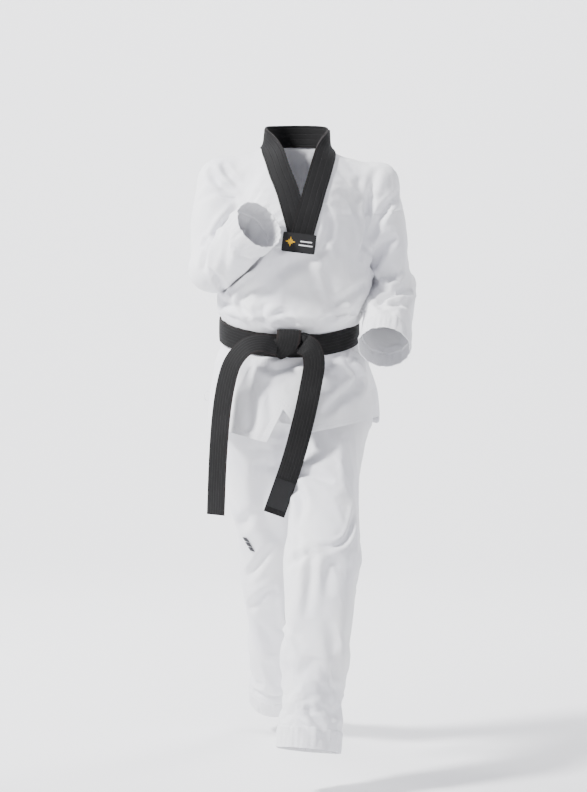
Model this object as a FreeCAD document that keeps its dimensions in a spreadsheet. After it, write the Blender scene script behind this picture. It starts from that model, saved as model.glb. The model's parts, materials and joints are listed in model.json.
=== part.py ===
import FreeCAD, Part
import os
from math import ceil, cos, radians, sin, tan

# A pullover martial arts uniform, standing in a walking stance with both arms raised in guard.
# Millimetres. +Z is up, +X is the wearer's left and the front faces -Y.
# The origin is the centre of the waist at belt height.
# Cloth is thin, so every panel is a closed shell as thick as its seams and facings.

Vector = FreeCAD.Vector
SIDE = Vector(1, 0, 0)
BACK = Vector(0, 1, 0)
SIDES = {"right": -1, "left": 1}
FAR = 400  # longer than any cut has to reach
SEAM_GAP = 0.4  # between panels that are sewn edge to edge

SIZES = {
    # cloth
    "wall": 2.0,
    "sewn_gap": 0.8,
    # jacket body: height, half width and half depth of each level, and how far its centre sits to +X
    "waist_low": -46, "waist_high": 22, "waist_wide": 128, "waist_deep": 89, "waist_shift": -4,
    "blouse_level": 56, "blouse_wide": 128, "blouse_deep": 104, "blouse_shift": -1,
    "chest_level": 158, "chest_wide": 112, "chest_deep": 101, "chest_shift": 14,
    "armpit_level": 236, "armpit_wide": 100, "armpit_deep": 93, "armpit_shift": 14,
    "yoke_level": 290, "yoke_wide": 88, "yoke_deep": 80, "yoke_shift": 12,
    "neck_level": 346, "neck_wide": 62, "neck_deep": 60, "neck_shift": 6,
    "armhole_ease": 5,
    # neckline and collar
    "v_point": 205, "v_half_top": 52, "v_wide_low": 2,
    "collar_band": 42, "collar_lean": 16.5, "collar_long": 178, "collar_foot": 24,
    "collar_lift": 3.2, "collar_top": 386,
    "patch_long": 62, "patch_high": 36, "patch_tilt": 7, "patch_level": 162,
    "patch_shift": 10, "patch_lift": 9,
    # jacket skirt
    "skirt_top": -47.5, "skirt_wide": 138, "skirt_deep": 98,
    "hem_level": -203, "hem_wide": 163, "hem_deep": 125, "hem_forward": 15,
    "side_vent": 7, "vent_apex": -143, "vent_half": 40, "vent_shift": -14,
    "back_rise": 12, "front_rise_left": 18,
    "tie_long": 26, "tie_thick": 5, "tie_level": -125, "tie_out": 10, "tie_forward": 4,
    # belt
    "belt_band": 40, "belt_thick": 2.2, "belt_lean": 8, "belt_level": -12,
    "belt_gap": 3.0, "wrap_gap": 0.6,
    "knot_half_long": 33, "knot_half_high": 20, "knot_half_deep": 11, "knot_shift": -8, "knot_level": -28,
    "knot_lift": 5,
    "tail_thick": 4, "label_long": 30, "label_thick": 0.8, "label_rise": 6,
    # trousers waist and seat
    "waistband_top": 6, "waistband_high": 38, "waistband_wide": 115, "waistband_deep": 76,
    "elastic_high": 30, "elastic_rise": 4, "elastic_inset": 2.6,
    "seat_low": -112, "seat_wide": 141, "seat_deep": 90, "gusset_thick": 2,
    "leg_start": -119,
    # sleeves
    "sleeve_wide": 50, "elbow_wide": 46, "cuff_band": 38, "cuff_long_half": 60, "cuff_short_half": 40,
    "shoulder_turn": 52, "right_elbow_turn": 76, "left_elbow_turn": 62,
    # legs
    "thigh_wide": 66, "knee_wide": 64, "hem_band": 38, "ankle_long_half": 62, "ankle_short_half": 56,
    "hip_turn": 75, "knee_turn": 73,
    "emblem_wide": 26, "emblem_thick": 1.2, "emblem_from_knee": 95,
    "emblem_turn": 33, "emblem_gap": 0.6,
}

# Centres of the sleeves and legs where they turn, and of their open ends.
POINTS = {
    "right_shoulder": (-136, 10, 284),
    "right_elbow": (-151, -60, 122),
    "right_wrist": (-63, -160, 195),
    "left_shoulder": (160, 0, 276),
    "left_elbow": (190, 25, 82),
    "left_wrist": (168, -112, -30),
    "right_hip": (-72, 6, -160),
    "right_knee": (-61, 110, -481),
    "right_ankle": (-44, 330, -764),
    "left_hip": (72, -4, -160),
    "left_knee": (62, -205, -407),
    "left_ankle": (29, -295, -748),
}

# The middle line of each belt tail, from the knot down.
RIGHT_TAIL = [(-36, -128, -28), (-72, -130, -27), (-106, -131, -46),
              (-125, -133, -86), (-136, -134, -140), (-144, -136, -340)]
LEFT_TAIL = [(22, -128, -30), (36, -131, -48), (30, -138, -100), (12, -148, -180), (-36, -154, -336)]

doc = FreeCAD.newDocument("martial_arts_uniform")
sheet = doc.addObject("Spreadsheet::Sheet", "Sizes")
pieces = []


def fill_sheet():
    """Write every driving dimension to the sheet as a plain number with a word for its alias."""
    rows = dict(SIZES)
    for name, place in POINTS.items():
        for letter, value in zip("xyz", place):
            rows[f"{name}_{letter}"] = value
    for row, (alias, value) in enumerate(rows.items(), start=1):
        sheet.set(f"A{row}", alias)
        sheet.set(f"B{row}", str(value))
        sheet.setAlias(f"B{row}", alias)
    doc.recompute()


def size(alias):
    return float(sheet.get(alias))


def point(name):
    return Vector(size(f"{name}_x"), size(f"{name}_y"), size(f"{name}_z"))


def bind(obj, **expressions):
    """Bind properties to sheet expressions: $word stands for the cell with that alias."""
    for prop, expression in expressions.items():
        obj.setExpression(prop.replace("__", "."), expression.replace("$", "Sizes."))
    return obj


def add(kind, name, **expressions):
    return bind(doc.addObject(kind, name), **expressions)


def boolean(kind, name, base, tool, placement=None):
    obj = doc.addObject(kind, name)
    obj.Base = base
    obj.Tool = tool
    if placement is not None:
        obj.Placement = placement
    return obj


def node(obj, label, placement=None):
    """Name a finished sub-part and put it in its place."""
    obj.Label = label
    if placement is not None:
        obj.Placement = placement
    pieces.append(obj)
    return obj


def loft(name, sections, ruled=False):
    obj = doc.addObject("Part::Loft", name)
    obj.Sections = sections
    obj.Solid = True
    obj.Ruled = ruled
    return obj


def level_ring(name, level, wide, deep, shift="0", forward="0"):
    """A flat ellipse at one height of the body, wider than it is deep."""
    return add("Part::Ellipse", name, MajorRadius=wide, MinorRadius=deep, Placement__Base__z=level,
               Placement__Base__x=shift, Placement__Base__y=f"-({forward})")


def level_shell(name, levels, grow="0", wall="$wall"):
    """A shell lofted through level rings, its outside grown by one expression."""
    outer = []
    inner = []
    for index, (level, wide, deep, shift, forward) in enumerate(levels):
        outer.append(level_ring(f"{name}_outer_{index}", level, f"{wide} + {grow}", f"{deep} + {grow}",
                                shift, forward))
        inner.append(level_ring(f"{name}_inner_{index}", level, f"{wide} + {grow} - {wall}",
                                f"{deep} + {grow} - {wall}", shift, forward))
    return boolean("Part::Cut", name, loft(f"{name}_outside", outer), loft(f"{name}_inside", inner))


def half_space(name, low, high):
    """A box between two corners, used to keep one side of a shell."""
    box = doc.addObject("Part::Box", name)
    box.Length, box.Width, box.Height = [b - a for a, b in zip(low, high)]
    box.Placement.Base = Vector(*low)
    return box


def facing(direction, side):
    """The rotation that turns local Z along a direction and keeps local X near a side vector."""
    return FreeCAD.Rotation(side, Vector(), direction, "ZXY")


def limb_ring(name, centre, direction, side, wide, deep):
    """An ellipse square to a sleeve or leg."""
    ring = add("Part::Ellipse", name, MajorRadius=wide, MinorRadius=deep)
    ring.Placement = FreeCAD.Placement(centre, facing(direction, side))
    return ring


def limb_tube(label, rings, side):
    """A hollow tube through rings given as (centre, direction, wide, deep), wide lying along side."""
    outer = []
    inner = []
    for index, (centre, direction, wide, deep) in enumerate(rings):
        outer.append(limb_ring(f"{label}_outer_{index}", centre, direction, side, wide, deep))
        inner.append(limb_ring(f"{label}_inner_{index}", centre, direction, side,
                               f"{wide} - $wall", f"{deep} - $wall"))
    cut = boolean("Part::Cut", label, loft(f"{label}_outside", outer), loft(f"{label}_inside", inner))
    return node(cut, label)


def turn_path(start, corner, end):
    """Centres and directions along a run that turns at a corner in one tangent arc."""
    go_in = (corner - start).normalize()
    go_out = (end - corner).normalize()
    turn = go_in.getAngle(go_out)
    reach = min((corner - start).Length, (end - corner).Length)
    radius = reach / tan(turn / 2)
    inward = (go_out - go_in * go_in.dot(go_out)).normalize()
    first = corner - go_in * reach
    stations = []
    if (first - start).Length > 1:
        stations.append((start, go_in))
    steps = max(3, ceil(turn / radians(14)))
    for index in range(steps + 1):
        angle = turn * index / steps
        centre = first + go_in * (radius * sin(angle)) + inward * (radius * (1 - cos(angle)))
        stations.append((centre, (go_in * cos(angle) + inward * sin(angle)).normalize()))
    if (end - stations[-1][0]).Length > 1:
        stations.append((end, go_out))
    return stations


def fold(label, start, corner, end, wide, side):
    """The soft cloth round a joint: a tube of one width that turns the corner."""
    stations = turn_path(start, corner, end)
    rings = [(centre, direction, wide, wide + " - 0.01") for centre, direction in stations]
    return limb_tube(label, rings, side)


def strip(label, path, width, thickness, face):
    """A flat band along a line of points, its broad side turned to the face vector."""
    sections = []
    for index, centre in enumerate(path):
        before = path[max(index - 1, 0)]
        after = path[min(index + 1, len(path) - 1)]
        direction = (after - before).normalize()
        across = direction.cross(face).normalize()
        outward = across.cross(direction).normalize()
        section = add("Part::Plane", f"{label}_section_{index}", Length=width, Width=thickness)
        corner = centre - across * (section_size(width) / 2) - outward * (section_size(thickness) / 2)
        section.Placement = FreeCAD.Placement(corner, FreeCAD.Rotation(across, outward, direction, "ZXY"))
        sections.append(section)
    return node(loft(label, sections, ruled=True), label)


def section_size(expression):
    return size(expression.replace("$", ""))


def torso_levels():
    names = ("waist_low", "waist_high", "blouse_level", "chest_level", "armpit_level", "yoke_level",
             "neck_level")
    levels = []
    for level in names:
        ring = level.split("_")[0]
        levels.append((f"${level}", f"${ring}_wide", f"${ring}_deep", f"${ring}_shift", "0"))
    return levels


def armhole(name):
    """A round bar out through one shoulder, a little wider than the sleeve, which opens the armhole."""
    bar = add("Part::Cylinder", f"{name}_armhole", Radius="$sleeve_wide + $armhole_ease", Height=str(FAR))
    shoulder = point(f"{name}_shoulder")
    start = Vector(0 if SIDES[name] > 0 else -FAR, shoulder.y, shoulder.z)
    bar.Placement = FreeCAD.Placement(start, facing(SIDE, BACK))
    return bar


def neck_wedge(name):
    """The V of the neckline: as wide as the collar at the top, closed where the bands cross."""
    wedge = doc.addObject("Part::Wedge", name)
    bind(wedge, Ymin="0", Ymax="$neck_level - $v_point + 1", Xmin="-$v_half_top", Xmax="$v_half_top",
         X2min="-$v_wide_low", X2max="$v_wide_low", Zmin="0", Zmax=str(FAR), Z2min="0", Z2max=str(FAR))
    base = Vector(size("neck_shift"), -FAR, size("neck_level") + 1)
    wedge.Placement = FreeCAD.Placement(base, facing(BACK, SIDE))
    return wedge


def jacket_body():
    """Front and back of the jacket above the belt, with armholes and a V neck."""
    open_shell = level_shell("jacket_shell", torso_levels())
    for name in SIDES:
        open_shell = boolean("Part::Cut", f"jacket_open_{name}", open_shell, armhole(name))
    front_half = half_space("front_half", (-FAR, -FAR, -FAR), (FAR, 0, FAR))
    front = boolean("Part::Common", "jacket_front_full", open_shell, front_half)
    node(boolean("Part::Cut", "jacket_front", front, neck_wedge("neck_opening")), "jacket_front")
    node(boolean("Part::Cut", "jacket_back", open_shell, front_half), "jacket_back")


def collar():
    """Two front bands that cross on the chest, and the band that stands round the neck."""
    skin = level_shell("collar_skin", torso_levels(), grow="$collar_lift")
    centre = size("neck_shift")
    bars = {}
    for name, sign in SIDES.items():
        bar = add("Part::Box", f"collar_{name}_bar", Length="$collar_band", Width=str(FAR),
                  Height="$collar_long")
        turn = FreeCAD.Rotation(BACK, sign * size("collar_lean"))
        foot = Vector(centre + sign * size("collar_foot"), -FAR, size("patch_level"))
        offset = turn.multVec(Vector(-size("collar_band") / 2, 0, 0))
        bar.Placement = FreeCAD.Placement(foot + offset, turn)
        bars[name] = bar
    node(boolean("Part::Common", "collar_left_band", skin, bars["left"]), "collar_left_band")
    right_band = boolean("Part::Common", "collar_right_full", skin, bars["right"])
    node(boolean("Part::Cut", "collar_right_band", right_band, bars["left"]), "collar_right_band")
    levels = [("$neck_level + 1.5", "$neck_wide + 3", "$neck_deep + 3", "$neck_shift", "0"),
              ("$collar_top", "$neck_wide - 4", "$neck_deep - 6", "$neck_shift", "0")]
    ring = level_shell("collar_ring", levels)
    front_gap = half_space("collar_gap", (-FAR, -FAR, 0), (FAR, -size("neck_deep") * 0.35, FAR))
    node(boolean("Part::Cut", "collar_back_band", ring, front_gap), "collar_back_band")


def patch():
    """The small square-cornered patch sewn over the crossing of the collar."""
    plate = add("Part::Box", "neck_patch", Length="$patch_long", Width="$wall", Height="$patch_high")
    turn = FreeCAD.Rotation(BACK, size("patch_tilt"))
    middle = Vector(size("patch_shift"), -size("chest_deep") - size("patch_lift"), size("patch_level"))
    offset = turn.multVec(Vector(size("patch_long") / 2, size("wall") / 2, size("patch_high") / 2))
    node(plate, "neck_patch", FreeCAD.Placement(middle - offset, turn))


def skirt():
    """The jacket below the belt: two front halves beside the vent, and the back between side vents."""
    levels = [("$skirt_top", "$skirt_wide", "$skirt_deep", "$waist_shift", "0"),
              ("$hem_level", "$hem_wide", "$hem_deep", "$waist_shift", "$hem_forward")]
    shell = level_shell("skirt_shell", levels)
    vent = doc.addObject("Part::Wedge", "vent_notch")
    bind(vent, Ymin="0", Ymax="$vent_apex - $hem_level + 1", Xmin="-$vent_half", Xmax="$vent_half",
         X2min="-1", X2max="1", Zmin="0", Zmax=str(FAR), Z2min="0", Z2max=str(FAR))
    base = Vector(size("vent_shift"), 0, size("hem_level") - 1)
    vent.Placement = FreeCAD.Placement(base, facing(-BACK, SIDE))
    notched = boolean("Part::Cut", "skirt_notched", shell, vent)
    gap = size("side_vent")
    seam = size("vent_shift")
    low = size("hem_level") - 1
    boxes = {
        "front_skirt_right": ((-FAR, -FAR, low), (seam - SEAM_GAP, -gap, 0)),
        "front_skirt_left": ((seam + SEAM_GAP, -FAR, low + size("front_rise_left")), (FAR, -gap, 0)),
        "back_skirt": ((-FAR, gap + 20, low + size("back_rise")), (FAR, FAR, 0)),
    }
    for label, (corner, far_corner) in boxes.items():
        box = half_space(f"{label}_box", corner, far_corner)
        node(boolean("Part::Common", label, notched, box), label)


def tie_loop():
    """The short white tie left at the right side seam."""
    loop = add("Part::Torus", "side_tie_loop", Radius1="$tie_long / 2 - $tie_thick / 2",
               Radius2="$tie_thick / 2")
    middle = Vector(-size("hem_wide") - size("tie_out"), -size("tie_forward"), size("tie_level"))
    node(loop, "side_tie_loop", FreeCAD.Placement(middle, facing(BACK, SIDE)))


def belt():
    """A belt wound twice round the waist, its knot, and its two hanging tails with an end label."""
    lean = FreeCAD.Rotation(SIDE, size("belt_lean"))
    base = Vector(0, 0, size("belt_level"))
    offset = "$belt_gap"
    for label in ("belt_inner_wrap", "belt_outer_wrap"):
        wide = f"$waist_wide + {offset} + $belt_thick"
        deep = f"$waist_deep + {offset} + $belt_thick + 3"
        levels = [("-$belt_band / 2", wide, deep, "$waist_shift", "0"),
                  ("$belt_band / 2", wide, deep, "$waist_shift", "0")]
        ring = level_shell(label, levels, wall="$belt_thick")
        node(ring, label, FreeCAD.Placement(base, lean))
        offset += " + $belt_thick + $wrap_gap"
    knot = add("Part::Ellipsoid", "belt_knot", Radius1="$knot_half_high", Radius2="$knot_half_long",
               Radius3="$knot_half_deep")
    knot_y = -size("waist_deep") - size("belt_gap") - 2 * size("belt_thick") - size("wrap_gap")
    knot_y -= size("knot_lift")
    middle = Vector(size("knot_shift"), knot_y - size("knot_half_deep"), size("knot_level"))
    node(knot, "belt_knot", FreeCAD.Placement(middle, FreeCAD.Rotation()))
    right = [Vector(*place) for place in RIGHT_TAIL]
    left = [Vector(*place) for place in LEFT_TAIL]
    strip("belt_right_tail", right, "$belt_band", "$tail_thick", -BACK)
    strip("belt_left_tail", left, "$belt_band", "$tail_thick", -BACK)
    end = left[-1]
    along = (left[-2] - end).normalize()
    lift = Vector(0, -size("tail_thick") / 2 - size("label_thick"), 0)
    low = end + along * size("label_rise") + lift
    strip("belt_end_label", [low, low + along * size("label_long")], "$label_long", "$label_thick", -BACK)


def trousers_top():
    """Elastic waistband, front and back of the seat, and the gusset between the legs."""
    top = "$waistband_top"
    low = "$waistband_top - $waistband_high"
    band = [(low, "$waistband_wide", "$waistband_deep", "$waist_shift", "0"),
            (top, "$waistband_wide", "$waistband_deep", "$waist_shift", "0")]
    node(level_shell("waistband", band), "waistband")
    inset = "$elastic_inset"
    inside = (f"$waistband_wide - {inset}", f"$waistband_deep - {inset}", "$waist_shift", "0")
    elastic = [(f"{low} + $elastic_rise", *inside), (f"{low} + $elastic_rise + $elastic_high", *inside)]
    node(level_shell("waist_elastic", elastic, wall="1.5"), "waist_elastic")
    seat = [("$seat_low", "$seat_wide", "$seat_deep", "0", "0"),
            (f"{low} - {SEAM_GAP}", "$waistband_wide", "$waistband_deep", "$waist_shift", "0")]
    shell = level_shell("seat_shell", seat)
    front_half = half_space("seat_front_half", (-FAR, -FAR, -FAR), (FAR, 0, FAR))
    node(boolean("Part::Common", "seat_front", shell, front_half), "seat_front")
    node(boolean("Part::Cut", "seat_back", shell, front_half), "seat_back")
    gusset()


def gusset():
    """The saddle panel that closes the seat between the two leg openings."""
    floor = add("Part::Cylinder", "gusset_blank", Radius="$seat_deep - $wall - 1", Height="$gusset_thick")
    floor.Placement.Base.z = size("seat_low") - size("gusset_thick") - SEAM_GAP
    panel = floor
    for name in SIDES:
        hole = add("Part::Cylinder", f"gusset_{name}_opening", Radius="$thigh_wide - $wall", Height=str(FAR))
        hole.Placement.Base = Vector(size(f"{name}_hip_x"), 0, -FAR / 2)
        panel = boolean("Part::Cut", f"gusset_cut_{name}", panel, hole)
    node(panel, "crotch_gusset")


def step_towards(start, end, distance):
    return start + (end - start).normalize() * distance


def sleeve(name):
    """Shoulder yoke, upper sleeve, elbow cloth, lower sleeve and cuff of one arm."""
    sign = SIDES[name]
    shoulder = point(f"{name}_shoulder")
    elbow = point(f"{name}_elbow")
    wrist = point(f"{name}_wrist")
    gap = size("sewn_gap")
    turn = size(f"{name}_elbow_turn")
    upper = (elbow - shoulder).normalize()
    lower = (wrist - elbow).normalize()
    side = upper.cross(lower).normalize()
    armhole = shoulder - SIDE * sign * size("shoulder_turn")
    seam = shoulder + upper * size("shoulder_turn")
    fold(f"{name}_shoulder_yoke", armhole, shoulder, seam, "$sleeve_wide", BACK)
    elbow_in = elbow - upper * turn
    elbow_out = elbow + lower * turn
    limb_tube(f"{name}_upper_sleeve", [
        (seam + upper * gap, upper, "$sleeve_wide", "$sleeve_wide - 0.01"),
        (elbow_in - upper * gap, upper, "$elbow_wide", "$elbow_wide - 0.01"),
    ], side)
    fold(f"{name}_elbow_cloth", elbow_in, elbow, elbow_out, "$elbow_wide", side)
    across = lower.cross(side).normalize()
    cuff_start = wrist - lower * size("cuff_band")
    limb_tube(f"{name}_lower_sleeve", [
        (elbow_out + lower * gap, lower, "$elbow_wide", "$elbow_wide - 0.01"),
        (cuff_start - lower * gap, lower, "$cuff_long_half - 2", "$cuff_short_half + 2"),
    ], across)
    limb_tube(f"{name}_cuff", [
        (cuff_start, lower, "$cuff_long_half", "$cuff_short_half"),
        (wrist, lower, "$cuff_long_half", "$cuff_short_half"),
    ], across)


def leg(name):
    """Hip cloth, thigh, knee cloth, shin and hem band of one leg."""
    hip = point(f"{name}_hip")
    knee = point(f"{name}_knee")
    ankle = point(f"{name}_ankle")
    gap = size("sewn_gap")
    thigh = (knee - hip).normalize()
    shin = (ankle - knee).normalize()
    start = Vector(hip.x, hip.y, size("leg_start"))
    thigh_top = hip + thigh * size("hip_turn")
    fold(f"{name}_hip_cloth", start, hip, thigh_top, "$thigh_wide", SIDE)
    knee_in = knee - thigh * size("knee_turn")
    knee_out = knee + shin * size("knee_turn")
    limb_tube(f"{name}_thigh", [
        (thigh_top + thigh * gap, thigh, "$thigh_wide", "$thigh_wide - 0.01"),
        (knee_in - thigh * gap, thigh, "$knee_wide", "$knee_wide - 0.01"),
    ], BACK)
    fold(f"{name}_knee_cloth", knee_in, knee, knee_out, "$knee_wide", SIDE)
    hem_start = ankle - shin * size("hem_band")
    limb_tube(f"{name}_shin", [
        (knee_out + shin * gap, shin, "$knee_wide", "$knee_wide - 0.01"),
        (hem_start - shin * gap, shin, "$ankle_long_half", "$ankle_short_half"),
    ], BACK)
    limb_tube(f"{name}_hem_band", [
        (hem_start, shin, "$ankle_long_half + 1", "$ankle_short_half + 1"),
        (ankle, shin, "$ankle_long_half + 1", "$ankle_short_half + 1"),
    ], BACK)


def emblem():
    """A small round embroidered emblem on the outer front of the right thigh."""
    hip = point("right_hip")
    knee = point("right_knee")
    along = (knee - hip).normalize()
    turn = size("emblem_turn")
    outward = -SIDE * sin(radians(turn)) - BACK * cos(radians(turn))
    outward = (outward - along * outward.dot(along)).normalize()
    centre = step_towards(knee, hip, size("emblem_from_knee"))
    centre += outward * (size("thigh_wide") + size("emblem_gap"))
    disc = add("Part::Cylinder", "thigh_emblem", Radius="$emblem_wide / 2", Height="$emblem_thick")
    node(disc, "thigh_emblem", FreeCAD.Placement(centre, facing(outward, SIDE)))


def check_document():
    """Stop if any object failed or any sub-part is not a valid closed shape."""
    doc.recompute()
    for obj in doc.Objects:
        if "Invalid" in obj.State or "Error" in obj.State:
            raise RuntimeError(f"{obj.Name} failed: {obj.State}")
    for obj in pieces:
        shape = obj.Shape
        if shape.isNull() or not shape.isValid() or shape.Volume <= 0:
            raise RuntimeError(f"{obj.Label} has no valid shape")


def export():
    os.makedirs("parts", exist_ok=True)
    for obj in pieces:
        obj.Shape.exportStep(f"parts/{obj.Label}.step")
        box = obj.Shape.BoundBox
        print(f"{obj.Label}: {len(obj.Shape.Solids)} solid, {obj.Shape.Volume / 1000:.1f} cm3,"
              f" {box.XLength:.0f} x {box.YLength:.0f} x {box.ZLength:.0f} mm")


def build():
    fill_sheet()
    jacket_body()
    collar()
    patch()
    skirt()
    tie_loop()
    belt()
    trousers_top()
    for name in SIDES:
        sleeve(name)
        leg(name)
    emblem()
    check_document()
    export()


build()
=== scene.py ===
import json
import math

import bmesh
import bpy
import numpy as np
import openvdb
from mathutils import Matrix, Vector, noise
from mathutils.bvhtree import BVHTree


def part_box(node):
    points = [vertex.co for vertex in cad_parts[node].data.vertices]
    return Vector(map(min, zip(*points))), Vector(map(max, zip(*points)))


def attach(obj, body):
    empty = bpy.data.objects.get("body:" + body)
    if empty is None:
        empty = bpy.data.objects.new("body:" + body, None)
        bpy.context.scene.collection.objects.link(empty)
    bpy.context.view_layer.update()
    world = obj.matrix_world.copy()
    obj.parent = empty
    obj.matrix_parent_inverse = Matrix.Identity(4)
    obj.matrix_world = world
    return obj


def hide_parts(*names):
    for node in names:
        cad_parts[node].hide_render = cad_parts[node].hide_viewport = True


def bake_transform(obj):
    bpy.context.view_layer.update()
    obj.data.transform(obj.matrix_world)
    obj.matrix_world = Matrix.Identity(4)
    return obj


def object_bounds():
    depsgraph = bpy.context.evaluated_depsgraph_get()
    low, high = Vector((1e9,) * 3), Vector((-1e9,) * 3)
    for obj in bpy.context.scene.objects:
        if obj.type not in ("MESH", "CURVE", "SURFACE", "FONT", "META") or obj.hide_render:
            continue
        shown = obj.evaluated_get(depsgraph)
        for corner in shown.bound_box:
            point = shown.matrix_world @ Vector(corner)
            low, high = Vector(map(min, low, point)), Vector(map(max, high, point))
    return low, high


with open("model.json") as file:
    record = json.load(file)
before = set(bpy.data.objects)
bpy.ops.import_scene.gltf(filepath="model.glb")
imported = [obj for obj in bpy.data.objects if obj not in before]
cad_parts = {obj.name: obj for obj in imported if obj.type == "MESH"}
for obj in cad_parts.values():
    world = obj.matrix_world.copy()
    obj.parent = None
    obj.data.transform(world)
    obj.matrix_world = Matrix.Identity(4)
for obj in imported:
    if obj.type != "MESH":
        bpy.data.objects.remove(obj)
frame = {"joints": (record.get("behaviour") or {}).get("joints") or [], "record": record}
CAD_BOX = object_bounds()
JOINTS = {joint["name"]: joint for joint in frame["joints"]}
MOUNTS = {mount["name"]: mount for mount in frame["record"]["mounts"]}
MM = 0.001


def joint_point(name):
    return np.array(JOINTS[name]["pos_m"])


def mount_point(name):
    return np.array(MOUNTS[name]["pos_m"])


def unit(vector):
    vector = np.asarray(vector, float)
    return vector / np.linalg.norm(vector)


def smoothstep(value, low, high):
    share = np.clip((value - low) / (high - low), 0, 1)
    return share * share * (3 - 2 * share)


# ---------------------------------------------------------------- signed distance forms

class Field:
    """A grid of points in space on which cloth and body forms are built as signed distances."""

    def __init__(self, low, high, voxel):
        self.low = np.array(low, float)
        self.voxel = voxel
        counts = np.ceil((np.array(high, float) - self.low) / voxel).astype(int) + 1
        axes = [self.low[i] + voxel * np.arange(counts[i]) for i in range(3)]
        self.x, self.y, self.z = np.meshgrid(*axes, indexing="ij")

    def limb(self, stations):
        """Distance to a chain of round cones through (point, radius) stations."""
        best = None
        for (start, r0), (end, r1) in zip(stations, stations[1:]):
            start = np.asarray(start, float)
            run = np.asarray(end, float) - start
            px, py, pz = self.x - start[0], self.y - start[1], self.z - start[2]
            share = np.clip((px * run[0] + py * run[1] + pz * run[2]) / (run @ run), 0, 1)
            away = np.sqrt((px - share * run[0]) ** 2 + (py - share * run[1]) ** 2
                           + (pz - share * run[2]) ** 2)
            distance = away - (r0 + share * (r1 - r0))
            best = distance if best is None else smooth_union(best, distance, 0.012)
        return best

    def trunk(self, rings, tilt=None):
        """Distance to a body whose level sections are rounded ovals.
        A ring is (level, half width, front depth, back depth, shift in x, squareness)."""
        level, wide, front, back, shift, square = np.array(rings, float).T
        height = self.z
        if tilt is not None:
            slope, centre, reach = tilt
            height = self.z - slope * self.y * np.exp(-((self.z - centre) / reach) ** 2)
        half = np.interp(height, level, wide)
        middle = np.interp(height, level, shift)
        deep = np.where(self.y < 0, np.interp(height, level, front), np.interp(height, level, back))
        power = np.interp(height, level, square)
        ratio = ((np.abs(self.x - middle) / half) ** power
                 + (np.abs(self.y) / deep) ** power) ** (1 / power)
        side = (ratio - 1) * np.minimum(half, deep)
        ends = np.maximum(self.z - level[-1], level[0] - self.z)
        return np.maximum(side, ends)

    def mesh(self, name, distance):
        """The closed surface where the distance is zero."""
        grid = openvdb.FloatGrid(1.0)
        grid.copyFromArray(distance.astype(np.float32))
        points, quads = grid.convertToQuads(0.0)
        points = points * self.voxel + self.low
        mesh = bpy.data.meshes.new(name)
        mesh.from_pydata(points.tolist(), [], quads.tolist())
        mesh.update()
        obj = bpy.data.objects.new(name, mesh)
        bpy.context.scene.collection.objects.link(obj)
        return obj


def smooth_union(a, b, blend):
    overlap = np.clip(blend - np.abs(a - b), 0, None) / blend
    return np.minimum(a, b) - overlap * overlap * blend * 0.25


# ---------------------------------------------------------------- cutting along a line on the cloth

def points_of(mesh):
    co = np.empty(len(mesh.vertices) * 3)
    mesh.vertices.foreach_get("co", co)
    return co.reshape(-1, 3)


def keep_rest(mesh):
    """Store where each point was before the cloth settled, which the panels' borders go by."""
    layer = mesh.attributes.new("rest", "FLOAT_VECTOR", "POINT")
    layer.data.foreach_set("vector", points_of(mesh).ravel())


def rest_of(mesh):
    rest = np.empty(len(mesh.vertices) * 3)
    mesh.attributes["rest"].data.foreach_get("vector", rest)
    return rest.reshape(-1, 3)


def cut_line(bm, measure):
    """Cut every face that a measure's zero line crosses. measure maps points to signed values."""
    bm.verts.ensure_lookup_table()
    rest = bm.verts.layers.float_vector["rest"]
    values = measure(np.array([v[rest] for v in bm.verts]))
    values[np.abs(values) < 1e-5] = 1e-5
    layer = bm.verts.layers.float.get("cut") or bm.verts.layers.float.new("cut")
    for vert, value in zip(bm.verts, values):
        vert[layer] = value
    fresh = set()
    for edge in list(bm.edges):
        a, b = edge.verts
        if a[layer] * b[layer] < 0:
            _, vert = bmesh.utils.edge_split(edge, a, abs(a[layer]) / (abs(a[layer]) + abs(b[layer])))
            vert[layer] = 0
            fresh.add(vert)
    for face in {face for vert in fresh for face in vert.link_faces}:
        ends = [vert for vert in face.verts if vert in fresh]
        if len(ends) == 2 and not any(vert in edge.verts for edge in ends[0].link_edges
                                      for vert in ends[1:] if edge in face.edges):
            bmesh.utils.face_split(face, ends[0], ends[1])


def face_centres(bm):
    """The middle of every face, as it was before the cloth settled."""
    rest = bm.verts.layers.float_vector["rest"]
    return np.array([sum((vert[rest] for vert in face.verts), Vector()) / len(face.verts)
                     for face in bm.faces])


def delete_faces(bm, doomed):
    faces = [face for face, gone in zip(list(bm.faces), doomed) if gone]
    bmesh.ops.delete(bm, geom=faces, context="FACES")
    loose = [vert for vert in bm.verts if not vert.link_faces]
    bmesh.ops.delete(bm, geom=loose, context="VERTS")


def polyline_distance(points, line):
    """Distance from each point to a line of points, and how far along it the nearest place is."""
    best = np.full(len(points), 1e9)
    along = np.zeros(len(points))
    run = 0.0
    for start, end in zip(line, line[1:]):
        start, end = np.asarray(start, float), np.asarray(end, float)
        span = end - start
        length = np.linalg.norm(span)
        share = np.clip((points - start) @ span / length ** 2, 0, 1)
        away = np.linalg.norm(points - start - share[:, None] * span, axis=1)
        closer = away < best
        best = np.where(closer, away, best)
        along = np.where(closer, run + share * length, along)
        run += length
    return best, along


# ---------------------------------------------------------------- where the wearer's joints are

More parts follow.
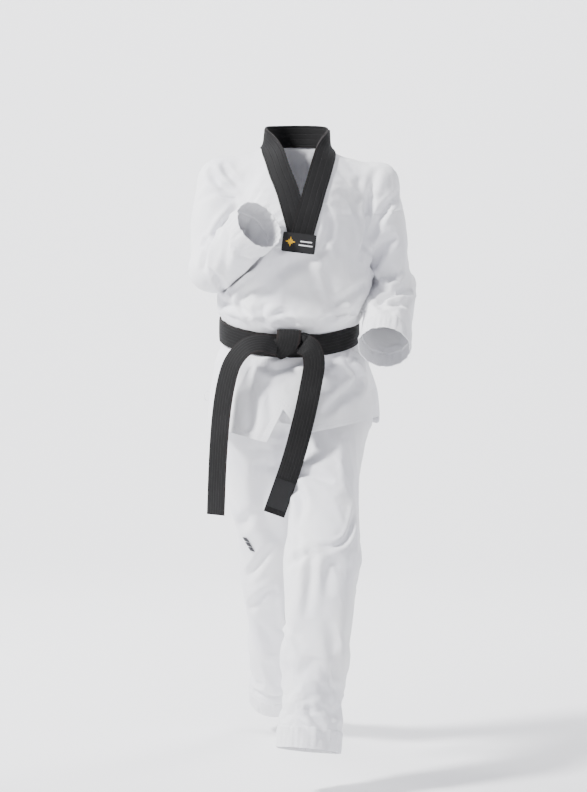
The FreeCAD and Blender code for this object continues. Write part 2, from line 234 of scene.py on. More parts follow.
# which way along X each side of the wearer lies
SIGN = {"right": -1, "left": 1}
SHOULDER = {side: joint_point(f"{side}_shoulder") for side in SIGN}
ELBOW = {side: joint_point(f"{side}_elbow") for side in SIGN}
WRIST = {side: mount_point(f"{side}_wrist") for side in SIGN}
HIP = {side: joint_point(f"{side}_hip") for side in SIGN}
KNEE = {side: joint_point(f"{side}_knee") for side in SIGN}
ANKLE = {side: mount_point(f"{side}_ankle") for side in SIGN}
FOREARM = {side: unit(WRIST[side] - ELBOW[side]) for side in SIGN}
SHIN = {side: unit(ANKLE[side] - KNEE[side]) for side in SIGN}
BELT_SLOPE = 0.17    # the belt dips at the front: height lost per length forward
BELT_LEVEL = -0.012   # height of the belt's middle line at the origin
BELT_RISE = 0.012     # how much higher than the plain tilt the belt sits at the sides, over the hips

# jacket levels: height, half width, front depth, back depth, shift, squareness
JACKET_RINGS = [
    (-0.215, 0.164, 0.146, 0.124, 0.002, 2.2),
    (-0.120, 0.157, 0.132, 0.115, 0.002, 2.3),
    (-0.060, 0.146, 0.117, 0.104, -0.003, 2.3),
    (-0.032, 0.131, 0.102, 0.094, -0.007, 2.2),
    (-0.012, 0.126, 0.097, 0.091, -0.008, 2.2),
    (0.010, 0.131, 0.102, 0.094, -0.006, 2.2),
    (0.040, 0.143, 0.116, 0.101, 0.002, 2.4),
    (0.090, 0.142, 0.115, 0.101, 0.006, 2.6),
    (0.160, 0.136, 0.110, 0.100, 0.010, 2.6),
    (0.215, 0.131, 0.104, 0.098, 0.012, 2.5),
    (0.265, 0.118, 0.088, 0.092, 0.012, 2.3),
    (0.310, 0.092, 0.066, 0.080, 0.010, 2.1),
    (0.345, 0.062, 0.052, 0.066, 0.006, 2.0),
    (0.400, 0.058, 0.050, 0.062, 0.006, 2.0),
]

# radii of the sleeve at the shoulder, half way down the upper arm, at the elbow and at the cuff
ARM_GIRTHS = {"right": (0.043, 0.050, 0.041, 0.049), "left": (0.038, 0.043, 0.044, 0.049)}
# radii of the trouser leg at the hip, below it, half way down the thigh, at the knee, on the shin and at
# the hem, and how far its middle sits to the wearer's left of the line through the joints at each of them
LEG_GIRTHS = {"right": (0.074, 0.073, 0.062, 0.053, 0.051, 0.055),
              "left": (0.074, 0.074, 0.065, 0.070, 0.063, 0.056)}
LEG_SHIFTS = {"right": (0.0, 0.0, 0.006, 0.014, 0.014, 0.008),
              "left": (0.0, 0.0, -0.012, -0.008, -0.006, -0.002)}


def arm_parts(side):
    """The sleeve from the yoke to the middle of the upper arm, and from there to past the wrist."""
    shoulder, elbow, wrist = SHOULDER[side], ELBOW[side], WRIST[side]
    top, middle_girth, bend, cuff = ARM_GIRTHS[side]
    inner = shoulder + np.array([0.055 if side == "right" else -0.055, 0, 0.006])
    middle = (shoulder + elbow) / 2
    upper = [(inner, top), (shoulder, top), (middle, middle_girth)]
    lower = [(middle, middle_girth), (elbow, bend), (wrist + FOREARM[side] * 0.03, cuff)]
    return upper, lower


def leg_stations(side):
    hip, knee, ankle = HIP[side], KNEE[side], ANKLE[side]
    low = hip + np.array([0, 0, -0.04])
    places = [hip, low, (low + knee) / 2, knee, (knee + ankle) / 2, ankle + SHIN[side] * 0.03]
    moved = [place + np.array([shift, 0, 0]) for place, shift in zip(places, LEG_SHIFTS[side])]
    return list(zip(moved, LEG_GIRTHS[side]))


TROUSER_RINGS = [
    (-0.175, 0.142, 0.082, 0.090, 0.0, 2.2),
    (-0.110, 0.144, 0.092, 0.100, 0.0, 2.3),
    (-0.040, 0.126, 0.086, 0.088, -0.004, 2.2),
    (0.030, 0.112, 0.078, 0.078, -0.006, 2.1),
]


def jacket_hull(voxel=0.006):
    field = Field((-0.30, -0.32, -0.24), (0.34, 0.22, 0.42), voxel)
    trunk = field.trunk(JACKET_RINGS, tilt=(BELT_SLOPE, BELT_LEVEL, 0.06))
    form = trunk
    sleeves = []
    for side in SIGN:
        upper, lower = arm_parts(side)
        arm = field.limb(lower)
        form = np.maximum(form, 0.010 - arm)
        sleeves.append((field.limb(upper), arm))
    for upper, lower in sleeves:
        form = smooth_union(form, upper, 0.03)
        form = np.minimum(form, lower)
    return field.mesh("jacket", form)


def trouser_hull(voxel=0.006):
    field = Field((-0.26, -0.46, -0.84), (0.26, 0.50, 0.04), voxel)
    legs = {side: field.limb(leg_stations(side)) for side in SIGN}
    below = field.z < -0.17
    left = np.where(below, np.maximum(legs["left"], 0.005 - legs["right"]), legs["left"])
    form = field.trunk(TROUSER_RINGS)
    form = smooth_union(form, legs["right"], 0.02)
    form = smooth_union(form, left, 0.02)
    return field.mesh("trousers", form)


# ---------------------------------------------------------------- cloth: settling, folds and puckers

def settle(obj, pins, growth, cap=0.009, frames=14):
    """Let the cloth buckle a little where it has spare length, then keep the settled shape."""
    rest = points_of(obj.data)
    pin = obj.vertex_groups.new(name="pin")
    grow = obj.vertex_groups.new(name="grow")
    for index, (hold, more) in enumerate(zip(pins, growth)):
        pin.add([index], float(hold), "REPLACE")
        grow.add([index], float(1 - more), "REPLACE")
    cloth = obj.modifiers.new("cloth", "CLOTH")
    settings = cloth.settings
    settings.quality = 4
    settings.mass = 0.15
    settings.tension_stiffness = 40
    settings.compression_stiffness = 40
    settings.shear_stiffness = 20
    settings.bending_stiffness = 2.0
    settings.air_damping = 5
    settings.vertex_group_mass = "pin"
    settings.pin_stiffness = 1
    settings.vertex_group_shrink = "grow"
    settings.shrink_min = -0.09
    settings.shrink_max = 0.0
    settings.effector_weights.gravity = 0.15
    cloth.collision_settings.use_collision = False
    cloth.point_cache.frame_end = frames
    scene = bpy.context.scene
    for number in range(1, frames + 1):
        scene.frame_set(number)
    settled = bpy.data.meshes.new_from_object(obj.evaluated_get(bpy.context.evaluated_depsgraph_get()))
    moved = points_of(settled) - rest
    reach = np.linalg.norm(moved, axis=1)[:, None]
    points = rest + moved * (cap * np.tanh(reach / cap) / np.maximum(reach, 1e-9))
    obj.modifiers.clear()
    obj.vertex_groups.clear()
    scene.frame_set(1)
    set_points(obj.data, points)


def set_points(mesh, points):
    mesh.vertices.foreach_set("co", np.asarray(points, float).ravel())
    mesh.update()


def apply_modifiers(obj):
    mesh = bpy.data.meshes.new_from_object(obj.evaluated_get(bpy.context.evaluated_depsgraph_get()))
    obj.modifiers.clear()
    obj.data = mesh


def subdivide(obj, levels=1):
    modifier = obj.modifiers.new("subdivision", "SUBSURF")
    modifier.levels = levels
    modifier.render_levels = levels
    apply_modifiers(obj)


def normals_of(mesh):
    normals = np.empty(len(mesh.vertices) * 3)
    mesh.vertices.foreach_get("normal", normals)
    return normals.reshape(-1, 3)


def dense(line, step=0.008):
    """A smooth line through a few points, sampled closely."""
    line = np.asarray(line, float)
    length = np.linalg.norm(np.diff(line, axis=0), axis=1).sum()
    count = max(3, int(length / step))
    padded = np.vstack([2 * line[0] - line[1], line, 2 * line[-1] - line[-2]])
    out = []
    for t in np.linspace(0, len(line) - 1 - 1e-6, count):
        i = int(t)
        f = t - i
        p0, p1, p2, p3 = padded[i:i + 4]
        out.append(0.5 * (2 * p1 + (p2 - p0) * f + (2 * p0 - 5 * p1 + 4 * p2 - p3) * f ** 2
                          + (3 * p1 - p0 - 3 * p2 + p3) * f ** 3))
    return np.array(out)


def bvh_of(obj):
    return BVHTree.FromObject(obj, bpy.context.evaluated_depsgraph_get())


def laid_on(tree, line, step=0.008):
    return np.array([tree.find_nearest(Vector(p))[0] for p in dense(line, step)])


def seen_on(tree, line, eye):
    """A line drawn on the plane through the waist, carried on to the cloth along the lines of sight."""
    hits = []
    for x, z in dense(np.array(line) * MM, 0.01):
        sight = (Vector((x, 0, z)) - eye).normalized()
        hit = tree.ray_cast(eye, sight)[0]
        if hit is not None:
            hits.append(hit)
    return np.array(hits)


# the fold tables' depths are multiplied by these
JACKET_GAIN, TROUSER_GAIN = 2.0, 1.7


def crease(points, normals, line, depth, width, gain):
    """Press a fold into the cloth along a line, with a soft ridge on both sides of it."""
    if len(line) < 3:
        return
    depth, width = depth * MM * gain, width * MM
    low, high = line.min(axis=0) - 3.5 * width, line.max(axis=0) + 3.5 * width
    near = np.nonzero(np.all((points > low) & (points < high), axis=1))[0]
    if not len(near):
        return
    away, along = polyline_distance(points[near], line)
    length = np.linalg.norm(np.diff(line, axis=0), axis=1).sum()
    share = along / length
    taper = np.clip(4 * share * (1 - share), 0, 1) ** 0.6
    profile = -np.exp(-(away / width) ** 2) + 0.35 * np.exp(-((away - 1.9 * width) / width) ** 2)
    points[near] += normals[near] * (depth * profile * taper)[:, None]


def soft_noise(points, scale, offset=0.0):
    """Smooth noise from -1 to 1. scale is a length, or three lengths for cloth drawn out one way."""
    scaled = points / np.asarray(scale) + offset
    return np.array([noise.noise(Vector(p)) for p in scaled])


def puckers(points, normals, distance, around, reach, height=0.0026):
    """Small upright gathers along a stitched band. distance is from the edge, around goes round it."""
    near = np.nonzero((distance > -0.004) & (distance < reach + 0.006))[0]
    band = smoothstep(distance[near], -0.004, 0.002) * (1 - smoothstep(distance[near], reach, reach + 0.005))
    gather = soft_noise(np.column_stack([around[near], distance[near] * 0.12, 0 * around[near]]), 0.006, 3.7)
    proud = 0.0012 * band
    points[near] += normals[near] * (proud + height * gather * band)[:, None]


# Folds as seen from the front: depth and half width in mm, then points (x, z) in mm on the plane
# through the waist. A negative depth is a ridge.
JACKET_FRONT_FOLDS = [
    (4.0, 13, [(43, 139), (-3, 124), (-45, 94), (-71, 59)]),  # across the chest below the patch
    (2.5, 9, [(64, 238), (69, 185), (47, 135)]),  # beside the wearer's left collar band
    (4.5, 8, [(157, 306), (143, 249), (140, 192), (128, 128)]),  # left shoulder to armpit
    (2.0, 9, [(128, 291), (123, 238)]),  # top of left shoulder
    (4.5, 7, [(200, 257), (166, 217), (145, 170)]),  # left sleeve cap
    (6.5, 9, [(197, 177), (170, 156), (147, 113)]),  # left sleeve below its seam
    (-3.5, 7, [(153, 116), (180, 80), (214, 107)]),  # left sleeve to the elbow
    (6.0, 7, [(225, 75), (187, 65), (153, 42)]),  # left elbow
    (3.5, 6, [(218, 44), (183, 48), (161, 38)]),  # left elbow low
    (4.0, 9, [(142, 88), (111, 67), (77, 46)]),  # left side over the belt
    (3.0, 6, [(124, 33), (85, 27), (47, 16)]),  # over the belt left
    (2.5, 6, [(-48, 21), (-18, 33), (5, 6)]),  # over the belt middle
    (3.5, 6, [(-60, 86), (-102, 56), (-83, 19)]),  # below the right forearm
    (2.5, 7, [(-136, 52), (-102, 38), (-79, 21)]),  # right side over the belt
    (4.0, 7, [(-161, 306), (-142, 276), (-109, 261)]),  # right upper sleeve top
    (3.0, 6, [(-136, 316), (-121, 291), (-102, 272)]),  # right upper sleeve second
    (3.0, 9, [(-178, 253), (-140, 259), (-105, 242)]),  # right upper sleeve hollow
    (7.0, 7, [(-102, 240), (-143, 185), (-166, 147), (-172, 109)]),  # right elbow main crease
    (3.0, 5, [(-151, 177), (-172, 164), (-159, 154)]),  # right elbow fold loop
    (2.0, 8, [(-119, 208), (-128, 139), (-136, 82)]),  # right forearm
    (3.5, 6, [(-166, 116), (-147, 101), (-132, 71)]),  # right elbow tip
    (4.5, 13, [(-81, -51), (-85, -119), (-81, -195)]),  # right front half of the skirt
    (3.5, 9, [(-69, -58), (-33, -76), (24, -53)]),  # below the knot
    (4.0, 8, [(100, -58), (124, -93), (92, -127), (54, -165)]),  # left front half
    (3.0, 9, [(138, -81), (119, -119), (88, -138)]),  # left front half, side
    (2.5, 8, [(35, -104), (62, -70), (85, -43)]),  # left front half, inner
]
TROUSER_FRONT_FOLDS = [
    (4.0, 9, [(5, -273), (39, -277), (77, -292)]),  # left crotch line
    (4.0, 9, [(-5, -288), (16, -330), (5, -381)]),  # left inner thigh
    (4.0, 5, [(117, -347), (105, -395), (79, -414), (47, -410)]),  # left thigh, like a pocket
    (4.0, 9, [(-14, -452), (28, -431), (33, -476), (22, -553)]),  # left knee inner
    (3.0, 11, [(111, -467), (69, -450), (62, -514)]),  # left knee outer
    (2.5, 12, [(69, -553), (79, -638), (54, -714)]),  # left shin
    (4.0, 7, [(24, -720), (39, -746), (62, -767)]),  # left hem break
    (2.5, 6, [(-3, -746), (24, -763), (35, -777)]),  # left hem break low
    (5.0, 14, [(-48, -210), (-62, -296), (-52, -366), (-18, -416)]),  # right thigh hollow
    (3.0, 11, [(-71, -340), (-96, -370), (-121, -400)]),  # right thigh side
    (4.0, 8, [(-90, -476), (-69, -450), (-41, -410)]),  # right knee upper
    (3.5, 8, [(-86, -537), (-60, -509), (-33, -495)]),  # right knee lower
    (-4.0, 6, [(-26, -484), (-20, -560), (5, -621)]),  # right inner shin
    (3.0, 8, [(-52, -634), (-41, -667), (-26, -689)]),  # right shin
    (3.0, 10, [(-71, -556), (-48, -591), (-41, -625)]),  # right calf
]
# The same from behind, where x still grows towards the wearer's left.
JACKET_BACK_FOLDS = [
    (4.5, 12, [(100, 250), (86, 150), (62, 50)]),
    (4.5, 12, [(-84, 250), (-72, 150), (-50, 50)]),
    (3.0, 12, [(10, 250), (14, 150), (6, 40)]),
    (4.0, 8, [(120, 70), (70, 40), (20, 50)]),
    (4.0, 8, [(-110, 60), (-60, 36), (-10, 44)]),
    (4.0, 12, [(60, -50), (66, -110), (60, -180)]),
    (4.0, 12, [(-50, -50), (-56, -110), (-48, -180)]),
    (5.0, 9, [(200, 170), (170, 130), (150, 90)]),
    (5.0, 9, [(215, 100), (180, 84), (150, 100)]),
    (5.0, 9, [(-180, 190), (-150, 150), (-130, 110)]),
]
TROUSER_BACK_FOLDS = [
    (4.5, 10, [(0, -190), (40, -215), (90, -205)]),
    (4.5, 10, [(0, -190), (-40, -220), (-100, -205)]),
    (5.0, 10, [(20, -400), (60, -415), (105, -395)]),
    (4.0, 10, [(20, -450), (64, -440), (104, -460)]),
    (5.0, 9, [(-110, -470), (-64, -490), (-20, -470)]),
    (4.0, 9, [(-104, -520), (-60, -510), (-16, -530)]),
    (3.0, 14, [(60, -470), (56, -580), (50, -700)]),
    (3.0, 14, [(-60, -540), (-60, -620), (-56, -700)]),
    (3.0, 14, [(-90, -230), (-84, -330), (-80, -440)]),
]


def press_folds(obj, front, back, gain):
    """Press every listed fold into the cloth, then add the small unevenness of a worn garment."""
    tree = bvh_of(obj)
    eye = bpy.context.scene.camera.location.copy()
    behind = Vector((0, 4.5, eye.z))
    points, normals = points_of(obj.data), normals_of(obj.data)
    for folds, view in ((front, eye), (back, behind)):
        for depth, width, line in folds:
            crease(points, normals, seen_on(tree, line, view), depth, width, gain)
    soft = 0.0016 * soft_noise(points, (0.045, 0.045, 0.085), 1.3)
    fine = 0.0006 * soft_noise(points, (0.016, 0.016, 0.030), 5.1)
    points += normals * (soft + fine)[:, None]
    set_points(obj.data, points)


# ---------------------------------------------------------------- where each panel begins and ends

CUFF = 0.038
HEM = 0.038
BAND_HALF = 0.021
CLOTH_UNDER_BAND = 0.017  # how far the cloth goes under the band, from its middle
SKIRT_TOP = -0.010
# the middle of the collar band, from the crossing on the chest up the wearer's left side, round the
# neck and down the right side to the crossing again; each point is moved to the cloth nearest to it
COLLAR_LEFT = [(0.013, -0.11, 0.166), (0.025, -0.11, 0.210), (0.036, -0.10, 0.250), (0.048, -0.08, 0.290),
               (0.060, -0.06, 0.325), (0.068, -0.02, 0.350)]
COLLAR_BACK = [(0.068, -0.02, 0.350), (0.064, 0.02, 0.362), (0.048, 0.05, 0.367), (0.006, 0.07, 0.369),
               (-0.036, 0.05, 0.367), (-0.052, 0.02, 0.364), (-0.056, -0.02, 0.354)]
COLLAR_RIGHT = [(-0.056, -0.02, 0.354), (-0.044, -0.06, 0.338), (-0.030, -0.08, 0.306),
                (-0.015, -0.10, 0.270), (-0.003, -0.11, 0.232), (0.008, -0.11, 0.190),
                (0.015, -0.11, 0.166)]


def belt_rise(x):
    """How much higher the belt sits at the sides, over the hips, than the plain tilt gives."""
    return BELT_RISE * (x / 0.125) ** 2


def belt_height(points):
    """Height over the belt's middle line, which dips at the front."""
    return points[:, 2] - BELT_LEVEL - BELT_SLOPE * points[:, 1] - belt_rise(points[:, 0])


def along_limb(points, start, end):
    """How far each point is beyond the end of a limb, and how far from its line."""
    away = points - end
    direction = unit(end - start)
    axial = away @ direction
    square = np.linalg.norm(away - axial[:, None] * direction, axis=1)
    return axial, square


def past_cuff(side, back=0.0):
    def measure(points):
        axial, square = along_limb(points, ELBOW[side], WRIST[side])
        return np.where((square < 0.058) & (axial > -0.085), axial + back, -1.0)
    return measure


def past_ankle(side, back=0.0):
    def measure(points):
        axial, square = along_limb(points, KNEE[side], ANKLE[side])
        return np.where((square < 0.09) & (axial > -0.12), axial + back, -1.0)
    return measure


def outside_armhole(side):
    """Above zero on the arm, from the crease where the sleeve leaves the body of the jacket."""
    upper, lower = arm_parts(side)
    stations = [*upper, *lower[1:]]
    line = np.array([place for place, _ in stations])
    girths = np.array([radius for _, radius in stations])
    runs = np.concatenate([[0], np.cumsum(np.linalg.norm(np.diff(line, axis=0), axis=1))])

    def measure(points):
        away, along = polyline_distance(points, line)
        sleeve = np.interp(along, runs, girths) + 0.0055 - away
        outer = SIGN[side] * (points[:, 0] - upper[0][0][0]) - 0.006
        return np.where(along < runs[2], np.minimum(sleeve, outer), sleeve)
    return measure


def past_shoulder_seam(side):
    """Above zero beyond the dropped shoulder seam on the upper arm."""
    upper = unit(ELBOW[side] - SHOULDER[side])
    seam = SHOULDER[side] + upper * 0.050

    def measure(points):
        return np.where(outside_armhole(side)(points) > 0, (points - seam) @ upper, -1.0)
    return measure


def jacket_hem(points):
    """Below zero under the hem: the two front halves end at their own heights."""
    x, y, z = points.T
    left = -0.186 + 0.19 * np.clip(x - 0.03, 0, 1)
    right = -0.203 + 0.25 * np.clip(-0.05 - x, 0, 1)
    front = np.where(x > -0.016, left, right)
    back = -0.178
    return z - (front + (back - front) * smoothstep(y, -0.02, 0.03))


def vent_notch(points):
    """Above zero inside the notch at the centre of the front hem."""
    x, y, z = points.T
    depth = -0.143 - z
    return np.where(y < 0, 0.62 * depth - np.abs(x + 0.019 - 0.1 * depth), -1.0)


def side_vent(points):
    """Above zero behind the side seams, where the back of the skirt begins."""
    return points[:, 1] - 0.004


def between_fronts(points):
    return points[:, 0] + 0.019


def flood(seed, wall):
    """Faces reached from a seed face without entering a wall face."""
    seen = {seed}
    stack = [seed]
    while stack:
        face = stack.pop()
        for edge in face.edges:
            for other in edge.link_faces:
                if other not in seen and other not in wall:
                    seen.add(other)
                    stack.append(other)
    return seen


def sink_seams(bm, measures, depth=0.0011):
    """Draw the cloth in along every sewn line."""
    rest = bm.verts.layers.float_vector["rest"]
    points = np.array([vert[rest] for vert in bm.verts])
    near = np.zeros(len(points))
    for measure in measures:
        near = np.maximum(near, np.exp(-(measure(points) / 0.0012) ** 2))
    for vert, share in zip(bm.verts, near):
        if share > 0.05:
            vert.co -= vert.normal * float(share * depth)


def off_arm(points):
    """True on the body of the jacket, and not on its sleeves."""
    return np.max([outside_armhole(side)(points) for side in SIGN], axis=0) < 0


def cut_jacket(hull, collar):
    """Open the neck, cuffs, hem and front vent, and cut the panels' borders."""
    left, back, right = collar
    bm = bmesh.new()
    bm.from_mesh(hull.data)
    for line in (np.vstack([left, back]), np.vstack([back, right])):
        cut_line(bm, lambda points, line=line: polyline_distance(points, line)[0] - CLOTH_UNDER_BAND)
    cuts = [jacket_hem, vent_notch]
    cuts += [lambda points: np.where(off_arm(points), belt_height(points) - SKIRT_TOP, 1.0)]
    cuts += [lambda points: np.where(belt_height(points) < SKIRT_TOP, side_vent(points), 1.0)]
    cuts += [lambda points: np.where(belt_height(points) < SKIRT_TOP, between_fronts(points), 1.0)]
    for side in SIGN:
        cuts += [past_cuff(side), past_cuff(side, CUFF), outside_armhole(side), past_shoulder_seam(side)]
    for measure in cuts:
        cut_line(bm, measure)
    bm.normal_update()
    sink_seams(bm, [past_cuff("right", CUFF), past_cuff("left", CUFF), past_shoulder_seam("right"),
                    past_shoulder_seam("left")])
    centres = face_centres(bm)
    in_band = polyline_distance(centres, np.vstack([left, back, right]))[0] < CLOTH_UNDER_BAND
    bm.faces.ensure_lookup_table()
    wall = {bm.faces[i] for i in np.nonzero(in_band)[0]}
    throat = flood(bm.faces[int(np.argmax(centres[:, 2]))], wall)
    doomed = np.array([face in throat for face in bm.faces])
    doomed |= (jacket_hem(centres) < 0) | (vent_notch(centres) > 0)
    for side in SIGN:
        doomed |= past_cuff(side)(centres) > 0
    delete_faces(bm, doomed)
    bmesh.ops.triangulate(bm, faces=[face for face in bm.faces if len(face.verts) > 4])
    bm.to_mesh(hull.data)
    bm.free()


def jacket_panels(points):
    """Which panel each place on the jacket belongs to."""
    panel = np.full(len(points), "jacket_body", dtype=object)
    skirt = belt_height(points) < SKIRT_TOP
    front = np.where(between_fronts(points) > 0, "skirt_front_left", "skirt_front_right")
    panel[skirt] = np.where(side_vent(points) > 0, "skirt_back", front)[skirt]
    for side in SIGN:
        arm = outside_armhole(side)(points) > 0
        panel[arm] = f"{side}_shoulder"
        panel[arm & (past_shoulder_seam(side)(points) > 0)] = f"{side}_sleeve"
        panel[arm & (past_cuff(side, CUFF)(points) > 0)] = f"{side}_sleeve_cuff"
    return panel


def jacket_pins(points):
    hold = 1 - smoothstep(np.abs(belt_height(points)), 0.026, 0.036)
    tops = np.vstack([dense(line) for line in (COLLAR_LEFT, COLLAR_BACK, COLLAR_RIGHT)])
    hold = np.maximum(hold, 1 - smoothstep(polyline_distance(points, tops)[0], 0.030, 0.045))
    for side in SIGN:
        axial, square = along_limb(points, ELBOW[side], WRIST[side])
        hold = np.maximum(hold, np.where(square < 0.09, 0.8 * smoothstep(axial, -0.05, -0.02), 0))
    return hold


def jacket_growth(points):
    height = belt_height(points)
    more = np.full(len(points), 0.25)
    more = np.maximum(more, 0.8 * smoothstep(height, 0.03, 0.045) * (1 - smoothstep(height, 0.06, 0.12)))
    for side in SIGN:
        elbow = np.linalg.norm(points - ELBOW[side], axis=1)
        more = np.maximum(more, 1.0 - smoothstep(elbow, 0.05, 0.12))
        pit = np.linalg.norm(points - (SHOULDER[side] + [0, 0, -0.06]), axis=1)
        more = np.maximum(more, 0.8 * (1 - smoothstep(pit, 0.04, 0.10)))
    return more


def trouser_pins(points):
    hold = smoothstep(points[:, 2], -0.06, -0.02)
    for side in SIGN:
        axial, square = along_limb(points, KNEE[side], ANKLE[side])
        hold = np.maximum(hold, np.where(square < 0.09, 0.8 * smoothstep(axial, -0.06, -0.02), 0))
    return hold


def trouser_growth(points):
    more = np.full(len(points), 0.22)
    for side in SIGN:
        knee = np.linalg.norm(points - KNEE[side], axis=1)
        more = np.maximum(more, 0.8 * (1 - smoothstep(knee, 0.06, 0.13)))
    crotch = np.linalg.norm(points - np.array([0, 0, -0.19]), axis=1)
    return np.maximum(more, 0.9 * (1 - smoothstep(crotch, 0.05, 0.13)))


THIGH_TOP = -0.155
THIGH_END = 0.075


def past_thigh(side):
    """Above zero below the plane on the thigh where the lower leg panel begins."""
    thigh = unit(KNEE[side] - HIP[side])
    cut = HIP[side] + thigh * THIGH_END

    def measure(points):
        own = SIGN[side] * nearer_leg(points) > -0.012
        return np.where(own, (points - cut) @ thigh, -1.0)
    return measure


def nearer_leg(points):
    """Above zero nearer to the wearer's left leg."""
    away = {}
    for side in SIGN:
        line = np.array([HIP[side], KNEE[side], ANKLE[side] + SHIN[side] * 0.05])
        away[side] = polyline_distance(points, line)[0]
    return away["right"] - away["left"]


def cut_trousers(hull):
    bm = bmesh.new()
    bm.from_mesh(hull.data)
    cuts = [lambda points: points[:, 2] - 0.004, lambda points: points[:, 2] + 0.032,
            lambda points: points[:, 2] - THIGH_TOP,
            lambda points: np.where(points[:, 2] < THIGH_TOP + 0.001, nearer_leg(points), 1.0)]
    for side in SIGN:
        cuts += [past_ankle(side), past_ankle(side, HEM), past_thigh(side)]
    for measure in cuts:
        cut_line(bm, measure)
    bm.normal_update()
    sink_seams(bm, [past_ankle("right", HEM), past_ankle("left", HEM), lambda points: points[:, 2] + 0.032])
    centres = face_centres(bm)
    doomed = centres[:, 2] > 0.004
    for side in SIGN:
        doomed |= past_ankle(side)(centres) > 0
    delete_faces(bm, doomed)
    bmesh.ops.triangulate(bm, faces=[face for face in bm.faces if len(face.verts) > 4])
    bm.to_mesh(hull.data)
    bm.free()


def trouser_panels(points):
    panel = np.full(len(points), "trousers_seat", dtype=object)
    panel[points[:, 2] > -0.032] = "trousers_waistband"
    left = nearer_leg(points) > 0
    low = points[:, 2] < THIGH_TOP
    for side in SIGN:
        own = left if side == "left" else ~left
        panel[low & own] = f"{side}_hip_panel"
        panel[low & own & (past_thigh(side)(points) > 0)] = f"{side}_leg_panel"
        panel[own & (past_ankle(side, HEM)(points) > 0)] = f"{side}_leg_hem"
    return panel


# ---------------------------------------------------------------- splitting a garment into its panels

def limb_angle(points, start, end, girth):
    """Place round a limb as a length, and place along it."""
    direction = unit(end - start)
    across = unit(np.cross(direction, [1.0, 0.02, 0.0]))
    third = np.cross(direction, across)
    away = points - start
    return np.arctan2(away @ across, away @ third), away @ direction, girth


def panel_frame(name):
    """The line that a panel's weave runs along, and the panel's mean radius."""
    for side in SIGN:
        if name.startswith(side):
            if "cuff" in name:
                return ELBOW[side], WRIST[side], 0.050
            if "sleeve" in name or "shoulder" in name:
                return SHOULDER[side], ELBOW[side], 0.050
            if "hem" in name:
                return KNEE[side], ANKLE[side], 0.058
            return HIP[side], KNEE[side], 0.064
    return np.array([0.004, 0.0, 0.4]), np.array([0.004, 0.0, -0.2]), 0.125


def take_panels(whole, labels, edge_measure):
    """Split the faces of a garment into one object per label, with a weave map and an edge map."""
    mesh = whole.data
    points, rest = points_of(mesh), rest_of(mesh)
    count = len(mesh.polygons)
    starts = np.empty(count, int)
    totals = np.empty(count, int)
    mesh.polygons.foreach_get("loop_start", starts)
    mesh.polygons.foreach_get("loop_total", totals)
    corners = np.empty(len(mesh.loops), int)
    mesh.loops.foreach_get("vertex_index", corners)
    panels = {}
    for name in sorted(set(labels)):
        chosen = np.nonzero(labels == name)[0]
        faces = [corners[starts[i]:starts[i] + totals[i]] for i in chosen]
        used = np.unique(np.concatenate(faces))
        remap = np.full(len(points), -1)
        remap[used] = np.arange(len(used))
        panel = bpy.data.meshes.new(name)
        panel.from_pydata(points[used].tolist(), [], [remap[face].tolist() for face in faces])
        panel.update()
        add_weave_map(panel, rest[used], name)
        add_edge_map(panel, rest[used], edge_measure)
        for polygon in panel.polygons:
            polygon.use_smooth = True
        obj = bpy.data.objects.new(name, panel)
        bpy.context.scene.collection.objects.link(obj)
        panels[name] = obj
    return panels


def loop_arrays(mesh):
    corners = np.empty(len(mesh.loops), int)
    mesh.loops.foreach_get("vertex_index", corners)
    totals = np.empty(len(mesh.polygons), int)
    mesh.polygons.foreach_get("loop_total", totals)
    return corners, np.repeat(np.arange(len(totals)), totals)


def add_weave_map(mesh, points, name):
    """Lengths round and along the panel, in metres, without a tear where the angle wraps."""
    start, end, girth = panel_frame(name)
    corners, owner = loop_arrays(mesh)
    angle, along, radius = limb_angle(points, start, end, girth)
    corner_angle = angle[corners]
    first = np.zeros(len(mesh.polygons))
    first[owner[::-1]] = corner_angle[::-1]
    shift = corner_angle - first[owner]
    corner_angle = corner_angle - 2 * np.pi * np.round(shift / (2 * np.pi))
    layer = mesh.uv_layers.new(name="weave")
    layer.data.foreach_set("uv", np.column_stack([corner_angle * radius, along[corners]]).ravel())


def add_edge_map(mesh, points, measure):
    """Distance from the panel's stitched edge across, and place along it."""
    corners, _ = loop_arrays(mesh)
    distance, around = measure(points)
    layer = mesh.uv_layers.new(name="edge")
    layer.data.foreach_set("uv", np.column_stack([distance[corners], around[corners]]).ravel())


def thicken(obj, thickness=0.0014):
    modifier = obj.modifiers.new("thickness", "SOLIDIFY")
    modifier.thickness = thickness
    modifier.offset = -1
    modifier.use_even_offset = False
    apply_modifiers(obj)
    obj.data.set_sharp_from_angle(angle=math.radians(55))


def jacket_edges(points):
    """Distance from the nearest hem or cuff edge, and place along it."""
    distance = np.full(len(points), 1.0)
    around = np.zeros(len(points))
    for side in SIGN:
        axial, square = along_limb(points, ELBOW[side], WRIST[side])
        on = (square < 0.08) & (axial > -0.09)
        angle, _, girth = limb_angle(points, ELBOW[side], WRIST[side], 0.050)
        distance = np.where(on, -axial, distance)
        around = np.where(on, angle * girth, around)
    hem = jacket_hem(points)
    low = (belt_height(points) < -0.04) & (distance > 0.09)
    vent = np.where(points[:, 1] < 0, np.abs(vent_notch(points)) * 0.85, 1.0)
    distance = np.where(low, 0.10 + np.minimum(hem, vent), distance)
    around = np.where(low, points[:, 0] + points[:, 1], around)
    return distance, around


